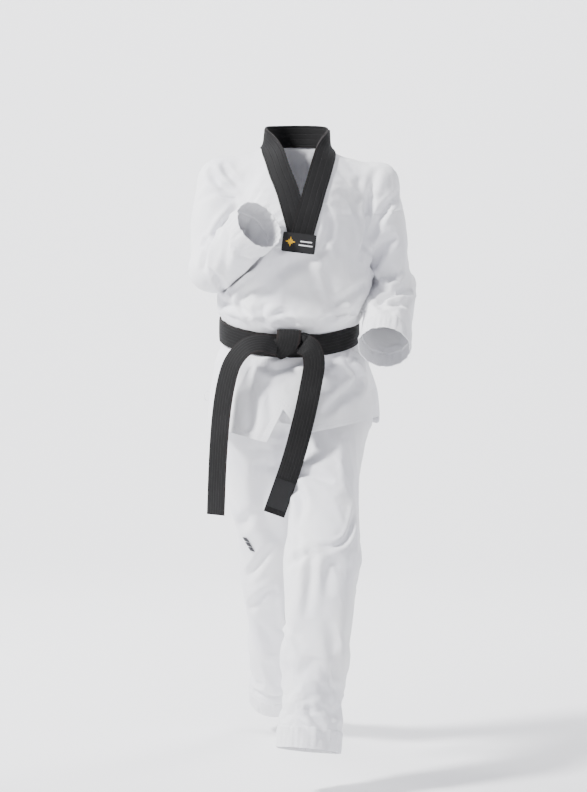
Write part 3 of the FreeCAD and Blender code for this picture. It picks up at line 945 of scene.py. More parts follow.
def trouser_edges(points):
    distance = np.full(len(points), 1.0)
    around = np.zeros(len(points))
    for side in SIGN:
        axial, square = along_limb(points, KNEE[side], ANKLE[side])
        on = (square < 0.09) & (axial > -0.09)
        angle, _, girth = limb_angle(points, KNEE[side], ANKLE[side], 0.058)
        distance = np.where(on, -axial, distance)
        around = np.where(on, angle * girth, around)
    return distance, around


def cinch(obj):
    """Draw the jacket in where the belt is tied round it."""
    points, normals = points_of(obj.data), normals_of(obj.data)
    under = np.exp(-(belt_height(rest_of(obj.data)) / 0.026) ** 4)
    under *= np.max([outside_armhole(side)(rest_of(obj.data)) for side in SIGN], axis=0) < 0
    points -= normals * (0.0035 * under)[:, None]
    set_points(obj.data, points)


def gather_bands(obj, measure):
    points, normals = points_of(obj.data), normals_of(obj.data)
    distance, around = measure(rest_of(obj.data))
    puckers(points, normals, distance, around, CUFF - 0.002)
    set_points(obj.data, points)


# ---------------------------------------------------------------- straps: collar, belt, loop

def woven_object(name, verts, faces, uv):
    """An object of the given faces, with its weave laid out, smooth except at sharp edges."""
    mesh = bpy.data.meshes.new(name)
    mesh.from_pydata(verts, [], faces)
    mesh.update()
    layer = mesh.uv_layers.new(name="weave")
    layer.data.foreach_set("uv", np.array(uv).ravel())
    bm = bmesh.new()
    bm.from_mesh(mesh)
    bmesh.ops.recalc_face_normals(bm, faces=bm.faces)
    bm.to_mesh(mesh)
    bm.free()
    for polygon in mesh.polygons:
        polygon.use_smooth = True
    mesh.set_sharp_from_angle(angle=math.radians(50))
    obj = bpy.data.objects.new(name, mesh)
    bpy.context.scene.collection.objects.link(obj)
    return obj


def strap(name, path, faces, width, thickness, rounding=0.25, crown=0.0, closed=False):
    """A flat band of cloth along a path. faces gives the way its front looks at each point."""
    path, faces = np.asarray(path, float), np.asarray(faces, float)
    count = len(path)
    widths = np.broadcast_to(np.asarray(width, float), (count,))
    ahead = np.roll(path, -1, axis=0) - np.roll(path, 1, axis=0)
    if not closed:
        ahead[0], ahead[-1] = path[1] - path[0], path[-1] - path[-2]
    half = thickness / 2
    edge = half * rounding
    steps = np.linspace(-1, 1, 9)
    verts, faces_out, uv = [], [], []
    run = np.concatenate([[0], np.cumsum(np.linalg.norm(np.diff(path, axis=0), axis=1))])
    outline = [(s, half + crown * (1 - s * s)) for s in steps] + [(s, -half) for s in steps[::-1]]
    for centre, forward, face, wide in zip(path, ahead, faces, widths):
        forward = unit(forward)
        across = unit(np.cross(forward, face))
        outward = np.cross(across, forward)
        for s, lift in outline:
            pull = edge if abs(s) == 1 else 0
            lift = lift - math.copysign(pull, lift)
            verts.append(centre + across * (s * wide / 2) + outward * lift)
    ring = len(outline)
    last = count if closed else count - 1
    for i in range(last):
        for j in range(ring):
            k, m = (j + 1) % ring, (i + 1) % count
            faces_out.append((i * ring + j, m * ring + j, m * ring + k, i * ring + k))
            start, end = run[i], run[i] + np.linalg.norm(path[m] - path[i])
            s0, s1 = outline[j][0] * widths[i] / 2, outline[k][0] * widths[i] / 2
            uv += [(s0, start), (s0, end), (s1, end), (s1, start)]
    if not closed:
        for i, order in ((0, 1), (count - 1, -1)):
            base = i * ring
            half_ring = len(steps)
            for j in range(half_ring - 1):
                quad = (base + j, base + j + 1, base + ring - 2 - j, base + ring - 1 - j)
                faces_out.append(quad[::order])
                uv += [(outline[j][0] * widths[i] / 2, run[i])] * 4
    return woven_object(name, [v.tolist() for v in verts], faces_out, uv)


def laid_rows(tree, line, offsets):
    """Rows across a line, laid on the cloth: each row's places, the ways the cloth faces there, and how
    far along the line the row is."""
    rows, runs = [], []
    run = 0.0
    for i, place in enumerate(line):
        before, after = line[max(i - 1, 0)], line[min(i + 1, len(line) - 1)]
        forward = unit(after - before)
        centre, normal = tree.find_nearest(Vector(place))[:2]
        across = unit(np.cross(forward, np.array(normal)))
        row = []
        for s in offsets:
            guess = np.array(centre) + across * s
            hit, facing = tree.find_nearest(Vector(guess))[:2]
            row.append((np.array(hit), np.array(facing)))
        rows.append(row)
        runs.append(run)
        if i + 1 < len(line):
            run += np.linalg.norm(line[i + 1] - place)
    places = np.array([[cell[0] for cell in row] for row in rows])
    facings = np.array([[cell[1] for cell in row] for row in rows])
    for _ in range(3):
        facings[1:-1] = (facings[:-2] + 2 * facings[1:-1] + facings[2:]) / 4
        places[1:-1] = (places[:-2] + 2 * places[1:-1] + places[2:]) / 4
    facings /= np.linalg.norm(facings, axis=2)[:, :, None]
    return places, facings, runs


def surface_strap(name, tree, line, half, lift, thickness, step=0.006):
    """A band sewn flat on the cloth: every row of it lies on the cloth that it crosses."""
    offsets = np.linspace(-half, half, 11)
    places, facings, runs = laid_rows(tree, dense(line, step), offsets)
    top = places + facings * (lift + thickness)
    under = places + facings * lift
    verts = np.concatenate([top.reshape(-1, 3), under.reshape(-1, 3)])
    last, wide = len(runs) - 1, len(offsets)
    total = len(runs) * wide
    faces, uv = [], []

    def corner(i, j):
        return (offsets[j], runs[i])

    for i in range(last):
        for j in range(wide - 1):
            a, b, c, d = i * wide + j, (i + 1) * wide + j, (i + 1) * wide + j + 1, i * wide + j + 1
            faces += [(a, b, c, d), (total + a, total + d, total + c, total + b)]
            uv += [corner(i, j), corner(i + 1, j), corner(i + 1, j + 1), corner(i, j + 1)]
            uv += [corner(i, j), corner(i, j + 1), corner(i + 1, j + 1), corner(i + 1, j)]
    border = [(i, j, i + 1, j) for j in (0, wide - 1) for i in range(last)]
    border += [(i, j, i, j + 1) for i in (0, last) for j in range(wide - 1)]
    for i, j, k, m in border:
        a, b = i * wide + j, k * wide + m
        faces.append((a, b, total + b, total + a))
        uv += [corner(i, j), corner(k, m), corner(k, m), corner(i, j)]
    return woven_object(name, verts.tolist(), faces, uv)


def joined(name, parts):
    """Join meshes into one object."""
    bm = bmesh.new()
    for part in parts:
        bm.from_mesh(part.data)
    mesh = bpy.data.meshes.new(name)
    bm.to_mesh(mesh)
    bm.free()
    for part in parts:
        bpy.data.objects.remove(part)
    mesh.set_sharp_from_angle(angle=math.radians(50))
    obj = bpy.data.objects.new(name, mesh)
    bpy.context.scene.collection.objects.link(obj)
    return obj


COLLAR_INSIDE = 0.0028  # how far the band stands inside the cloth


def make_collar(tree):
    """The black band, folded round the edge of the cloth; the wearer's left side laps over the right."""
    bands = {}
    for name, line, proud in (("collar_left", [*COLLAR_LEFT, (0.068, 0.004, 0.357)], 0.0034),
                              ("collar_right", [(-0.056, 0.0, 0.358), *COLLAR_RIGHT], 0.0018),
                              ("collar_back", COLLAR_BACK, 0.0012)):
        on_cloth = laid_on(tree, line, 0.02)
        bands[name] = surface_strap(f"{name}_facing", tree, on_cloth, BAND_HALF, -COLLAR_INSIDE,
                                    COLLAR_INSIDE + proud)
    return bands


def ring_path(half_wide, front, back, shift, level, slope, count=120, square=2.2):
    """A level oval round the waist, tilted so that it dips at the front."""
    turn = np.linspace(0, 2 * np.pi, count, endpoint=False)
    c, s = np.cos(turn), np.sin(turn)
    reach = (np.abs(c) ** square + np.abs(s) ** square) ** (-1 / square)
    x = shift + half_wide * c * reach
    y = np.where(s < 0, front, back) * s * reach
    path = np.column_stack([x, y, level + slope * y + belt_rise(x)])
    outward = np.column_stack([c / half_wide, s / np.where(s < 0, front, back), 0 * c])
    return path, outward / np.linalg.norm(outward, axis=1)[:, None]


def make_belt():
    pieces = {}
    row = next(ring for ring in JACKET_RINGS if ring[0] == -0.012)
    _, wide, front, back, shift, square = row
    for index, (name, drop) in enumerate((("belt_first_turn", 0.0015), ("belt_second_turn", -0.0010))):
        out = 0.0022 + 0.0034 * index
        path, outward = ring_path(wide + out, front + out, back + out, shift, BELT_LEVEL + drop, BELT_SLOPE,
                                  square=square)
        pieces[name] = strap(name, path, outward, 0.040, 0.0028, closed=True, crown=0.0006)
    return pieces


def spun(path, face, swing):
    """Facing directions along a path that start as one direction and swing evenly to another."""
    share = np.linspace(0, 1, len(path))[:, None]
    face, swing = np.asarray(face, float), np.asarray(swing, float)
    mixed = face * (1 - share) + swing * share
    return mixed / np.linalg.norm(mixed, axis=1)[:, None]


def make_knot():
    """An overhand knot: one turn of the belt folded over the front, and the two ends that leave it."""
    x, y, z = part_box("belt_knot")[0].lerp(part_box("belt_knot")[1], 0.5)
    front = -1.0
    centre = np.array([x, y, z])

    def at(dx, dy, dz):
        return centre + np.array([dx, dy, dz]) * MM

    parts = []
    over = dense([at(0, 9, 27), at(0, -4, 27), at(-1, -12, 15), at(-4, -14, 3), at(-10, -12, -10),
                  at(-18, -6, -22)], 0.003)
    faces = spun(over, (0.05, front, 1.2), (-0.1, front, -0.6))
    share = np.linspace(0, 1, len(over))
    widths = np.interp(share, [0, 0.45, 0.68, 1], [0.046, 0.045, 0.036, 0.010])
    parts.append(strap("knot_over", over, faces, widths, 0.0045, crown=0.0012))
    left = dense([at(-48, 4, 2), at(-37, -3, 1), at(-27, -8, -1), at(-16, -9, -4)], 0.003)
    parts.append(strap("knot_left_lobe", left, spun(left, (-0.4, front, 0.3), (0.1, front, -0.3)),
                       np.interp(np.linspace(0, 1, len(left)), [0, 0.5, 1], [0.010, 0.026, 0.036]), 0.0045,
                       crown=0.002))
    right = dense([at(34, 4, 6), at(26, -4, 10), at(15, -8, 8), at(6, -6, 0), at(-2, 3, -8)], 0.003)
    parts.append(strap("knot_right_lobe", right, spun(right, (0.5, front, 0.3), (-0.1, front, -0.5)),
                       np.linspace(0.032, 0.024, len(right)), 0.0045, crown=0.002))
    roll = dense([at(18, -2, 20), at(28, -8, 15), at(33, -9, 6), at(28, -8, -2), at(16, -6, -7)], 0.003)
    parts.append(strap("knot_roll", roll, spun(roll, (0.5, front, 0.5), (0.5, front, -0.5)), 0.014, 0.005,
                       crown=0.002))
    core = dense([at(-24, 5, 4), at(0, 3, 0), at(24, 5, 2)], 0.004)
    faces = spun(core, (0, front, 0), (0, front, 0))
    parts.append(strap("knot_core", core, faces, 0.032, 0.010, crown=0.003))
    return joined("belt_overhand_knot", parts)


# the tails' middle lines, from the knot down
RIGHT_TAIL = [(-0.030, -0.127, -0.030), (-0.058, -0.133, -0.022), (-0.088, -0.136, -0.030),
              (-0.112, -0.137, -0.058), (-0.125, -0.137, -0.100), (-0.134, -0.138, -0.160),
              (-0.140, -0.138, -0.240), (-0.144, -0.138, -0.340)]
LEFT_TAIL = [(0.018, -0.128, -0.024), (0.032, -0.137, -0.034), (0.038, -0.141, -0.060),
             (0.032, -0.144, -0.100), (0.018, -0.152, -0.165), (-0.004, -0.162, -0.245),
             (-0.036, -0.168, -0.336)]


def make_tails():
    tails = {}
    for name, points, start, end in (
            ("belt_tail_right_strap", RIGHT_TAIL, (-0.4, -1.0, 0.9), (-0.75, -1.0, 0.0)),
            ("belt_tail_left_strap", LEFT_TAIL, (0.0, -1.0, 0.15), (0.05, -1.0, 0.0))):
        path = dense(points, 0.006)
        path[:, 1] += 0.0012 * np.sin(np.linspace(0, 9, len(path)))
        tails[name] = strap(name, path, spun(path, start, end), 0.040, 0.0034, crown=0.0004)
    return tails


def make_end_label():
    path = dense(LEFT_TAIL, 0.006)[-7:-1]
    path[:, 1] -= 0.0028
    faces = spun(path, (0.03, -1, 0), (0.05, -1, 0))
    return strap("belt_label_panel", path, faces, 0.036, 0.0008)


def make_tie_loop(tree):
    """A short tape sewn into the right side seam and looped on itself."""
    low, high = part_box("side_tie_loop")
    middle = (low + high) / 2
    seam = tree.find_nearest(middle)[0]
    out, drop = MM * 10, MM * 9
    points = [(seam.x + 0.006, seam.y, seam.z + 0.3 * drop),
              (seam.x - 0.6 * out, seam.y - 0.002, seam.z + drop),
              (seam.x - out, seam.y - 0.004, seam.z),
              (seam.x - 0.6 * out, seam.y - 0.001, seam.z - drop),
              (seam.x + 0.006, seam.y + 0.001, seam.z - 0.4 * drop)]
    path = dense(points, 0.002)
    outward = path - np.array([seam.x - 0.3 * out, seam.y, seam.z])
    outward[:, 1] = 0
    return strap("side_tie_tape", path, outward / np.linalg.norm(outward, axis=1)[:, None], 0.006, 0.0012)


# ---------------------------------------------------------------- studio

def camera():
    data = bpy.data.cameras.new("camera")
    data.sensor_fit = "VERTICAL"
    data.sensor_height = 36
    data.lens = 107.6
    obj = bpy.data.objects.new("camera", data)
    obj.location = (0, -4.5, 0.105)
    obj.rotation_euler = (math.radians(90 - 2.95), 0, 0)
    bpy.context.scene.collection.objects.link(obj)
    bpy.context.scene.camera = obj


def backdrop():
    """A pale floor that curves up behind the uniform without a corner."""
    ground = CAD_BOX[0].z - 0.03
    profile = [(-9.0, ground)] + [(3.0, ground)]
    radius = 2.0
    for step in range(1, 19):
        angle = math.radians(5 * step)
        profile.append((3.0 + radius * math.sin(angle), ground + radius * (1 - math.cos(angle))))
    profile.append((3.0 + radius, 8.0))
    bm = bmesh.new()
    rows = [[bm.verts.new((x, y, z)) for x in (-12.0, 12.0)] for y, z in profile]
    for near, far in zip(rows, rows[1:]):
        bm.faces.new((near[0], near[1], far[1], far[0])).smooth = True
    mesh = bpy.data.meshes.new("backdrop")
    bm.to_mesh(mesh)
    bm.free()
    plane = bpy.data.objects.new("backdrop", mesh)
    bpy.context.scene.collection.objects.link(plane)
    material = bpy.data.materials.new("backdrop")
    material.use_nodes = True
    shader = material.node_tree.nodes["Principled BSDF"]
    shader.inputs["Base Color"].default_value = (0.93, 0.93, 0.94, 1)
    shader.inputs["Roughness"].default_value = 0.9
    plane.data.materials.append(material)


def area_light(name, place, target, size, power):
    data = bpy.data.lights.new(name, "AREA")
    data.shape = "DISK"
    data.size = size
    data.energy = power
    obj = bpy.data.objects.new(name, data)
    obj.location = place
    obj.rotation_euler = (Vector(target) - Vector(place)).to_track_quat("-Z", "Y").to_euler()
    bpy.context.scene.collection.objects.link(obj)


def studio():
    camera()
    backdrop()
    world = bpy.data.worlds.new("world")
    world.use_nodes = True
    world.node_tree.nodes["Background"].inputs["Color"].default_value = (0.90, 0.91, 1.0, 1)
    world.node_tree.nodes["Background"].inputs["Strength"].default_value = 0.62
    bpy.context.scene.world = world
    area_light("key", (-2.7, -1.5, 2.6), (0, 0, -0.1), 0.7, 430)
    area_light("fill", (2.6, -2.2, 0.4), (0, 0, -0.2), 2.0, 20)
    area_light("backdrop_left", (-2.0, 1.2, 2.6), (-1.0, 4.5, 0.4), 2.0, 190)
    area_light("backdrop_right", (2.0, 1.2, 2.6), (1.0, 4.5, 0.4), 2.0, 190)


# ---------------------------------------------------------------- patch and emblem

def plate(name, centre, right, up, outline, thickness):
    """A thin flat shape: an outline in its own plane, given its thickness."""
    normal = unit(np.cross(right, up))
    verts = [centre + right * u + up * v for u, v in outline]
    bm = bmesh.new()
    face = bm.faces.new([bm.verts.new(Vector(v)) for v in verts])
    made = bmesh.ops.extrude_face_region(bm, geom=[face])["geom"]
    for item in made:
        if isinstance(item, bmesh.types.BMVert):
            item.co += Vector(normal * thickness)
    bmesh.ops.recalc_face_normals(bm, faces=bm.faces)
    mesh = bpy.data.meshes.new(name)
    bm.to_mesh(mesh)
    bm.free()
    obj = bpy.data.objects.new(name, mesh)
    bpy.context.scene.collection.objects.link(obj)
    return obj


def rounded_rectangle(wide, high, radius, steps=5):
    outline = []
    for cx, cy, first in ((1, 1, 0), (-1, 1, 90), (-1, -1, 180), (1, -1, 270)):
        for step in range(steps + 1):
            angle = math.radians(first + 90 * step / steps)
            outline.append((cx * (wide / 2 - radius) + radius * math.cos(angle),
                            cy * (high / 2 - radius) + radius * math.sin(angle)))
    return outline


def petal(length, width, angle):
    """A pointed leaf shape from the middle outwards."""
    shape = [(0.0, 0.0), (length * 0.45, width / 2), (length, 0.0), (length * 0.45, -width / 2)]
    c, s = math.cos(angle), math.sin(angle)
    return [(u * c - v * s, u * s + v * c) for u, v in shape]


PATCH_TILT = math.radians(7)


def make_patch(tree):
    """The black patch over the crossing, with a plain gold star and two plain white bars."""
    low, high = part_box("neck_patch")
    middle = (low + high) / 2
    hit = tree.ray_cast(Vector((middle.x, -1, middle.z)), Vector((0, 1, 0)))[0]
    right = np.array([math.cos(PATCH_TILT), 0.0, -math.sin(PATCH_TILT)])
    tip = 0.03
    up = unit(np.array([math.sin(PATCH_TILT), tip, math.cos(PATCH_TILT)]))
    centre = np.array([middle.x, hit.y - 0.0075, middle.z])
    front = np.array([0, -1.0, 0])
    base = plate("neck_patch_base", centre, right, up, rounded_rectangle(0.062, 0.036, 0.0025), 0.0016)
    inset = rounded_rectangle(0.0595, 0.0335, 0.002)
    rim = plate("neck_patch_rim", centre + front * 0.0016, right, up, inset, 0.0004)
    face = centre + front * 0.0020
    star = []
    star_at = face - right * 0.016 + up * 0.001
    for index in range(8):
        length = 0.0095 if index % 2 == 0 else 0.006
        ray = petal(length, 0.0032, math.pi * index / 4)
        star.append(plate(f"star_{index}", star_at, right, up, ray, 0.0005))
    bars = []
    for level, long in ((0.0035, 0.022), (-0.0035, 0.026)):
        at = face + right * 0.013 + up * level
        bars.append(plate(f"bar_{level}", at, right, up, rounded_rectangle(long, 0.0022, 0.0008), 0.0004))
    patch = joined("neck_patch_cloth", [base, rim])
    return patch, joined("neck_patch_star", star), joined("neck_patch_bars", bars)


def make_emblem(tree):
    """A small generic embroidered motif on the right thigh: three slanting leaves."""
    low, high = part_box("thigh_emblem")
    middle = (low + high) / 2
    hit, normal = tree.ray_cast(Vector((middle.x + 0.010, -1, middle.z)), Vector((0, 1, 0)))[:2]
    normal = np.array(normal)
    if normal[1] > 0:
        normal = -normal
    right = unit(np.cross([0, 0, 1.0], normal))
    up = np.cross(normal, right)
    leaves = []
    for index in range(3):
        at = np.array(hit) + normal * 0.0012 + up * (0.010 - 0.010 * index) + right * (-0.004 + 0.004 * index)
        leaf = plate(f"leaf_{index}", at, right, up, petal(0.016, 0.008, math.radians(-35)), 0.0012)
        leaves.append(leaf)
    return joined("thigh_emblem_stitching", leaves)


# ---------------------------------------------------------------- materials

class Tree:
    """A little shorthand for building a material's nodes."""

    def __init__(self, name, color, roughness, sheen=0.0):
        self.material = bpy.data.materials.new(name)
        self.material.use_nodes = True
        self.nodes = self.material.node_tree.nodes
        self.links = self.material.node_tree.links
        self.shader = self.nodes["Principled BSDF"]
        self.shader.inputs["Base Color"].default_value = (*color, 1)
        self.shader.inputs["Roughness"].default_value = roughness
        self.shader.inputs["Specular IOR Level"].default_value = 0.25
        self.shader.inputs["Sheen Weight"].default_value = sheen
        self.shader.inputs["Sheen Roughness"].default_value = 0.5

    def feed(self, socket, value):
        if isinstance(value, bpy.types.NodeSocket):
            self.links.new(value, socket)
        else:
            socket.default_value = value

    def math(self, operation, a, b=0.0, c=0.0):
        node = self.nodes.new("ShaderNodeMath")
        node.operation = operation
        for socket, value in zip(node.inputs, (a, b, c)):
            self.feed(socket, value)
        return node.outputs[0]

    def ramp(self, value, low, high, out_low=0.0, out_high=1.0):
        node = self.nodes.new("ShaderNodeMapRange")
        node.interpolation_type = "SMOOTHSTEP"
        for key, item in (("Value", value), ("From Min", low), ("From Max", high), ("To Min", out_low),
                          ("To Max", out_high)):
            self.feed(node.inputs[key], item)
        return node.outputs["Result"]

    def uv(self, name):
        node = self.nodes.new("ShaderNodeUVMap")
        node.uv_map = name
        split = self.nodes.new("ShaderNodeSeparateXYZ")
        self.links.new(node.outputs["UV"], split.inputs[0])
        return split.outputs["X"], split.outputs["Y"]

    def noise(self, scale, detail=3.0, coordinates="Object"):
        place = self.nodes.new("ShaderNodeTexCoord")
        node = self.nodes.new("ShaderNodeTexNoise")
        node.inputs["Scale"].default_value = scale
        node.inputs["Detail"].default_value = detail
        self.links.new(place.outputs[coordinates], node.inputs["Vector"])
        return node.outputs["Fac"]

    def mix(self, share, a, b):
        node = self.nodes.new("ShaderNodeMix")
        node.data_type = "RGBA"
        self.feed(node.inputs["Factor"], share)
        colours = [socket for socket in node.inputs if socket.type == "RGBA"]
        for socket, value in zip(colours, (a, b)):
            if isinstance(value, bpy.types.NodeSocket):
                self.links.new(value, socket)
            else:
                socket.default_value = (*value, 1)
        return [socket for socket in node.outputs if socket.type == "RGBA"][0]

    def finish(self, color, height, depth, strength=0.6):
        self.links.new(color, self.shader.inputs["Base Color"])
        bump = self.nodes.new("ShaderNodeBump")
        bump.inputs["Strength"].default_value = strength
        bump.inputs["Distance"].default_value = depth
        self.links.new(height, bump.inputs["Height"])
        self.links.new(bump.outputs["Normal"], self.shader.inputs["Normal"])
        return self.material


def stitch_rows(tree, pitch, first, last, dash=0.0032):
    """1 on stitches in rows beside an edge, and 0 elsewhere."""
    across, along = tree.uv("edge")
    row = tree.math("PINGPONG", tree.math("SUBTRACT", across, first), pitch / 2)
    line = tree.ramp(row, 0.0003, 0.0009, 1.0, 0.0)
    stitch = tree.ramp(tree.math("PINGPONG", along, dash / 2), dash * 0.10, dash * 0.22)
    inside = tree.math("MULTIPLY", tree.ramp(across, first - 0.001, first - 0.0004),
                       tree.ramp(across, last + 0.0004, last + 0.001, 1.0, 0.0))
    return tree.math("MULTIPLY", tree.math("MULTIPLY", line, stitch), inside), \
        tree.math("MULTIPLY", line, inside)


def white_cloth(name, pitch, rows):
    """Bleached cotton blend: a fine diamond weave with painted shade in its hollows, faint unevenness, and
    stitch rows by its edges with painted shade in their grooves.
    """
    tree = Tree(name, (0.86, 0.86, 0.88), 0.82, sheen=0.15)
    u, v = tree.uv("weave")
    rise = tree.math("PINGPONG", tree.math("ADD", u, v), pitch / 2)
    fall = tree.math("PINGPONG", tree.math("SUBTRACT", u, v), pitch / 2)
    weave = tree.math("DIVIDE", tree.math("MAXIMUM", rise, fall), pitch / 2)
    blotch = tree.noise(9.0)
    fine = tree.noise(900.0, 2.0)
    tint = tree.mix(tree.ramp(blotch, 0.35, 0.65), (0.83, 0.83, 0.865), (0.885, 0.885, 0.895))
    # painted shade: the weave's hollows, where the bump below is lowest, are tinted lavender grey
    tint = tree.mix(tree.math("MULTIPLY", tree.ramp(weave, 0.55, 1.0), 0.10), tint, (0.70, 0.70, 0.76))
    height = tree.math("ADD", tree.math("MULTIPLY", weave, -0.35), tree.math("MULTIPLY", fine, 0.25))
    for first, last, gap in rows:
        stitches, groove = stitch_rows(tree, gap, first, last)
        # painted shade: each stitch groove, which is also pressed in below, is darkened to lavender grey as
        # shade falls in it
        tint = tree.mix(tree.math("MULTIPLY", groove, 0.35), tint, (0.60, 0.60, 0.68))
        tint = tree.mix(tree.math("MULTIPLY", stitches, 0.8), tint, (0.93, 0.93, 0.94))
        height = tree.math("SUBTRACT", height, tree.math("MULTIPLY", groove, 1.6))
        height = tree.math("ADD", height, tree.math("MULTIPLY", stitches, 1.3))
    return tree.finish(tint, height, 0.0004, 0.7)


def black_cloth(name, rows, color, worn, width=0.040):
    """Black cotton webbing: fine ribs across, stitch rows along, and edges rubbed a little brown."""
    tree = Tree(name, color, 0.75, sheen=0.02)
    across, along = tree.uv("weave")
    ribs = tree.math("DIVIDE", tree.math("PINGPONG", along, 0.0006), 0.0006)
    fine = tree.noise(700.0, 2.0)
    dusty = tree.noise(14.0)
    pitch = width / rows
    row = tree.math("PINGPONG", tree.math("ADD", across, pitch / 2 * (rows % 2 + 1)), pitch / 2)
    groove = tree.ramp(row, 0.0003, 0.0010, 1.0, 0.0)
    stitch = tree.math("MULTIPLY", groove, tree.ramp(tree.math("PINGPONG", along, 0.0014), 0.0002, 0.0006))
    edge = tree.ramp(tree.math("ABSOLUTE", across), width / 2 - 0.0022, width / 2 - 0.0002)
    lighter = tuple(channel * 1.9 for channel in color)
    tint = tree.mix(tree.ramp(dusty, 0.4, 0.75), color, lighter)
    tint = tree.mix(tree.math("MULTIPLY", stitch, 0.30), tint, tuple(channel * 3.0 for channel in color))
    tint = tree.mix(tree.math("MULTIPLY", edge, 0.55), tint, worn)
    height = tree.math("ADD", tree.math("MULTIPLY", ribs, 0.25), tree.math("MULTIPLY", fine, 0.3))
    height = tree.math("SUBTRACT", height, tree.math("MULTIPLY", groove, 1.4))
    height = tree.math("ADD", height, tree.math("MULTIPLY", stitch, 0.6))
    return tree.finish(tint, height, 0.0005, 0.8)


def thread(name, color, scale=420.0, roughness=0.45):
    """Embroidery thread: fine slanting strands with a soft shine."""
    tree = Tree(name, color, roughness, sheen=0.2)
    grain = tree.noise(scale, 2.0)
    wave = tree.nodes.new("ShaderNodeTexWave")
    wave.inputs["Scale"].default_value = 330.0
    wave.inputs["Distortion"].default_value = 1.5
    place = tree.nodes.new("ShaderNodeTexCoord")
    tree.links.new(place.outputs["Object"], wave.inputs["Vector"])
    tint = tree.mix(tree.math("MULTIPLY", wave.outputs["Fac"], 0.45), color,
                    tuple(channel * 0.55 for channel in color))
    height = tree.math("ADD", wave.outputs["Fac"], tree.math("MULTIPLY", grain, 0.4))
    return tree.finish(tint, height, 0.0003, 0.7)


# ---------------------------------------------------------------- putting the uniform together

def give(obj, material, slot, *nodes):
    """Finish one piece: its material and the CAD nodes that it stands for, which it hides; slot is not used.
    """
    obj.data.materials.clear()
    obj.data.materials.append(material)
    if nodes:
        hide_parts(*nodes)


def blend_at(obj, centre, direction):
    """Bake the piece's placement into its mesh; nothing is blended across the joint, and the point and
    direction are not used.
    """
    centre, direction = np.asarray(centre), unit(direction)
    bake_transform(obj)


def dress_jacket(panels, cloth):
    body = panels["jacket_body"]
    give(body, cloth, "jacket_cloth", "jacket_front", "jacket_back")
    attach(body, "torso")
    for side in SIGN:
        shoulder, sleeve, cuff = (panels[f"{side}_{part}"] for part in ("shoulder", "sleeve", "sleeve_cuff"))
        upper = unit(ELBOW[side] - SHOULDER[side])
        outward = np.array([SIGN[side] * 1.0, 0, 0])
        give(shoulder, cloth, "jacket_cloth", f"{side}_shoulder_yoke")
        seam = SHOULDER[side] + upper * 0.004
        blend_at(shoulder, seam, unit(outward + upper))
        give(sleeve, cloth, "jacket_cloth",
             f"{side}_upper_sleeve", f"{side}_elbow_cloth", f"{side}_lower_sleeve")
        turn = unit(upper + FOREARM[side])
        blend_at(sleeve, ELBOW[side], turn)
        give(cuff, cloth, "jacket_cloth", f"{side}_cuff")
        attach(cuff, f"{side}_forearm")
        front = panels[f"skirt_front_{side}"]
        give(front, cloth, "jacket_cloth", f"front_skirt_{side}")
        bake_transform(front)
    back = panels["skirt_back"]
    give(back, cloth, "jacket_cloth", "back_skirt")
    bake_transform(back)


def dress_trousers(panels, cloth, plain):
    give(panels["trousers_seat"], cloth, "trouser_cloth", "seat_front", "seat_back", "crotch_gusset")
    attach(panels["trousers_seat"], "torso")
    give(panels["trousers_waistband"], plain, "trouser_cloth", "waistband")
    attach(panels["trousers_waistband"], "torso")
    for side in SIGN:
        hip, leg, hem = (panels[f"{side}_{part}"] for part in ("hip_panel", "leg_panel", "leg_hem"))
        thigh = unit(KNEE[side] - HIP[side])
        give(hip, cloth, "trouser_cloth", f"{side}_hip_cloth")
        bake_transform(hip)
        give(leg, cloth, "trouser_cloth", f"{side}_thigh", f"{side}_knee_cloth", f"{side}_shin")
        blend_at(leg, KNEE[side], unit(thigh + SHIN[side]))
        give(hem, cloth, "trouser_cloth", f"{side}_hem_band")
        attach(hem, f"{side}_lower_leg")


def make_garment(cloth, pins, growth, folds, edges):
    """Settle a garment's closed form, press its folds in and gather its stitched bands."""
    points = points_of(cloth.data)
    keep_rest(cloth.data)
    settle(cloth, pins(points), growth(points))
    subdivide(cloth)
    press_folds(cloth, *folds)
    gather_bands(cloth, edges)
    return bvh_of(cloth)


def finished_panels(cloth, label, edges):
    """Take the cut cloth apart into its panels, and give each its thickness."""
    panels = take_panels(cloth, label(rest_middles(cloth.data)), edges)
    bpy.data.objects.remove(cloth)
    for panel in panels.values():
        thicken(panel)
    return panels


def make_jacket():
    cloth = jacket_hull()
    plain = bvh_of(cloth)
    collar = [laid_on(plain, line) for line in (COLLAR_LEFT, COLLAR_BACK, COLLAR_RIGHT)]
    folds = (JACKET_FRONT_FOLDS, JACKET_BACK_FOLDS, JACKET_GAIN)
    tree = make_garment(cloth, jacket_pins, jacket_growth, folds, jacket_edges)
    cinch(cloth)
    cut_jacket(cloth, collar)
    return finished_panels(cloth, jacket_panels, jacket_edges), tree


def make_trousers():
    cloth = trouser_hull()
    folds = (TROUSER_FRONT_FOLDS, TROUSER_BACK_FOLDS, TROUSER_GAIN)
    tree = make_garment(cloth, trouser_pins, trouser_growth, folds, trouser_edges)
    cut_trousers(cloth)
    return finished_panels(cloth, trouser_panels, trouser_edges), tree


def rest_middles(mesh):
    """The middle of every face, as it was before the cloth settled."""
    corners, owner = loop_arrays(mesh)
    rest = rest_of(mesh)[corners]
    sums = np.zeros((len(mesh.polygons), 3))
    np.add.at(sums, owner, rest)
    return sums / np.bincount(owner)[:, None]


def add_collar(tree, cloth, label_cloth):
    """The three lengths of the collar band, and the patch over their crossing."""
    collar = make_collar(tree)
    for name, node in (("collar_left", "collar_left_band"), ("collar_right", "collar_right_band"),
                       ("collar_back", "collar_back_band")):
        give(collar[name], cloth, "collar_cloth", node)
        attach(collar[name], "torso")
    patch, star, bars = make_patch(tree)
    give(patch, label_cloth, "patch", "neck_patch")
    give(star, thread("gold_thread", (0.90, 0.50, 0.01)), "patch")
    give(bars, thread("white_thread", (0.80, 0.80, 0.80)), "patch")
    for obj in (patch, star, bars):
        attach(obj, "torso")


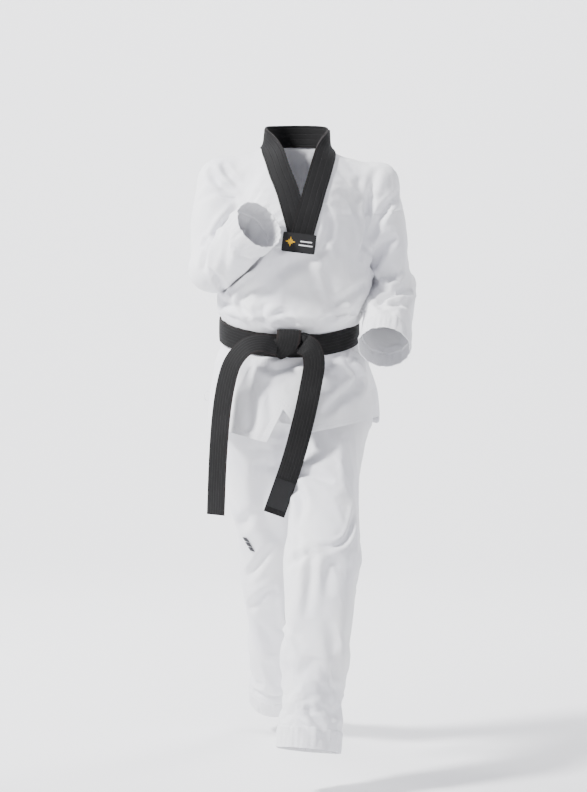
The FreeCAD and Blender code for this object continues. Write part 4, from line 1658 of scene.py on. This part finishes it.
def add_belt(cloth, label_cloth):
    """The belt's two turns, its knot, its two hanging tails and the label on the left one."""
    belt = make_belt()
    for name, node in (("belt_first_turn", "belt_inner_wrap"), ("belt_second_turn", "belt_outer_wrap")):
        give(belt[name], cloth, "belt_cloth", node)
        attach(belt[name], "torso")
    knot = make_knot()
    give(knot, cloth, "belt_cloth", "belt_knot")
    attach(knot, "torso")
    tails = make_tails()
    for side in SIGN:
        tail = tails[f"belt_tail_{side}_strap"]
        give(tail, cloth, "belt_cloth", f"belt_{side}_tail")
        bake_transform(tail)
    label = make_end_label()
    give(label, label_cloth, "belt_label", "belt_end_label")
    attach(label, "belt_tail_left")


def main():
    studio()
    # stitch rows: the first, the last and the gap between them, in metres along the weave
    near_rows, far_rows = (0.006, 0.034, 0.0055), (0.106, 0.114, 0.0055)
    jacket_cloth = white_cloth("white_jacket_cloth", 0.0022, [near_rows, far_rows])
    trouser_cloth = white_cloth("white_trouser_cloth", 0.0036, [near_rows])
    waist_cloth = white_cloth("white_waistband_cloth", 0.0036, [near_rows])
    collar_cloth = black_cloth("black_collar_cloth", 4, (0.0030, 0.0029, 0.0032), (0.009, 0.006, 0.0055),
                               0.042)
    belt_cloth = black_cloth("black_belt_cloth", 7, (0.0030, 0.0029, 0.0031), (0.013, 0.007, 0.006))
    label_cloth = thread("black_label_cloth", (0.0045, 0.0045, 0.0055), roughness=0.6)
    panels, jacket_tree = make_jacket()
    dress_jacket(panels, jacket_cloth)
    legs, trouser_tree = make_trousers()
    dress_trousers(legs, trouser_cloth, waist_cloth)
    add_collar(jacket_tree, collar_cloth, label_cloth)
    add_belt(belt_cloth, label_cloth)
    loop = make_tie_loop(jacket_tree)
    give(loop, jacket_cloth, "jacket_cloth", "side_tie_loop")
    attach(loop, "torso")
    emblem = make_emblem(trouser_tree)
    give(emblem, thread("black_thread", (0.03, 0.03, 0.035)), "emblem", "thigh_emblem")
    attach(emblem, "right_upper_leg")
    elastic = bpy.data.objects["waist_elastic"]
    elastic.data.materials.clear()
    elastic.data.materials.append(thread("elastic_ribs", (0.75, 0.75, 0.76)))


main()
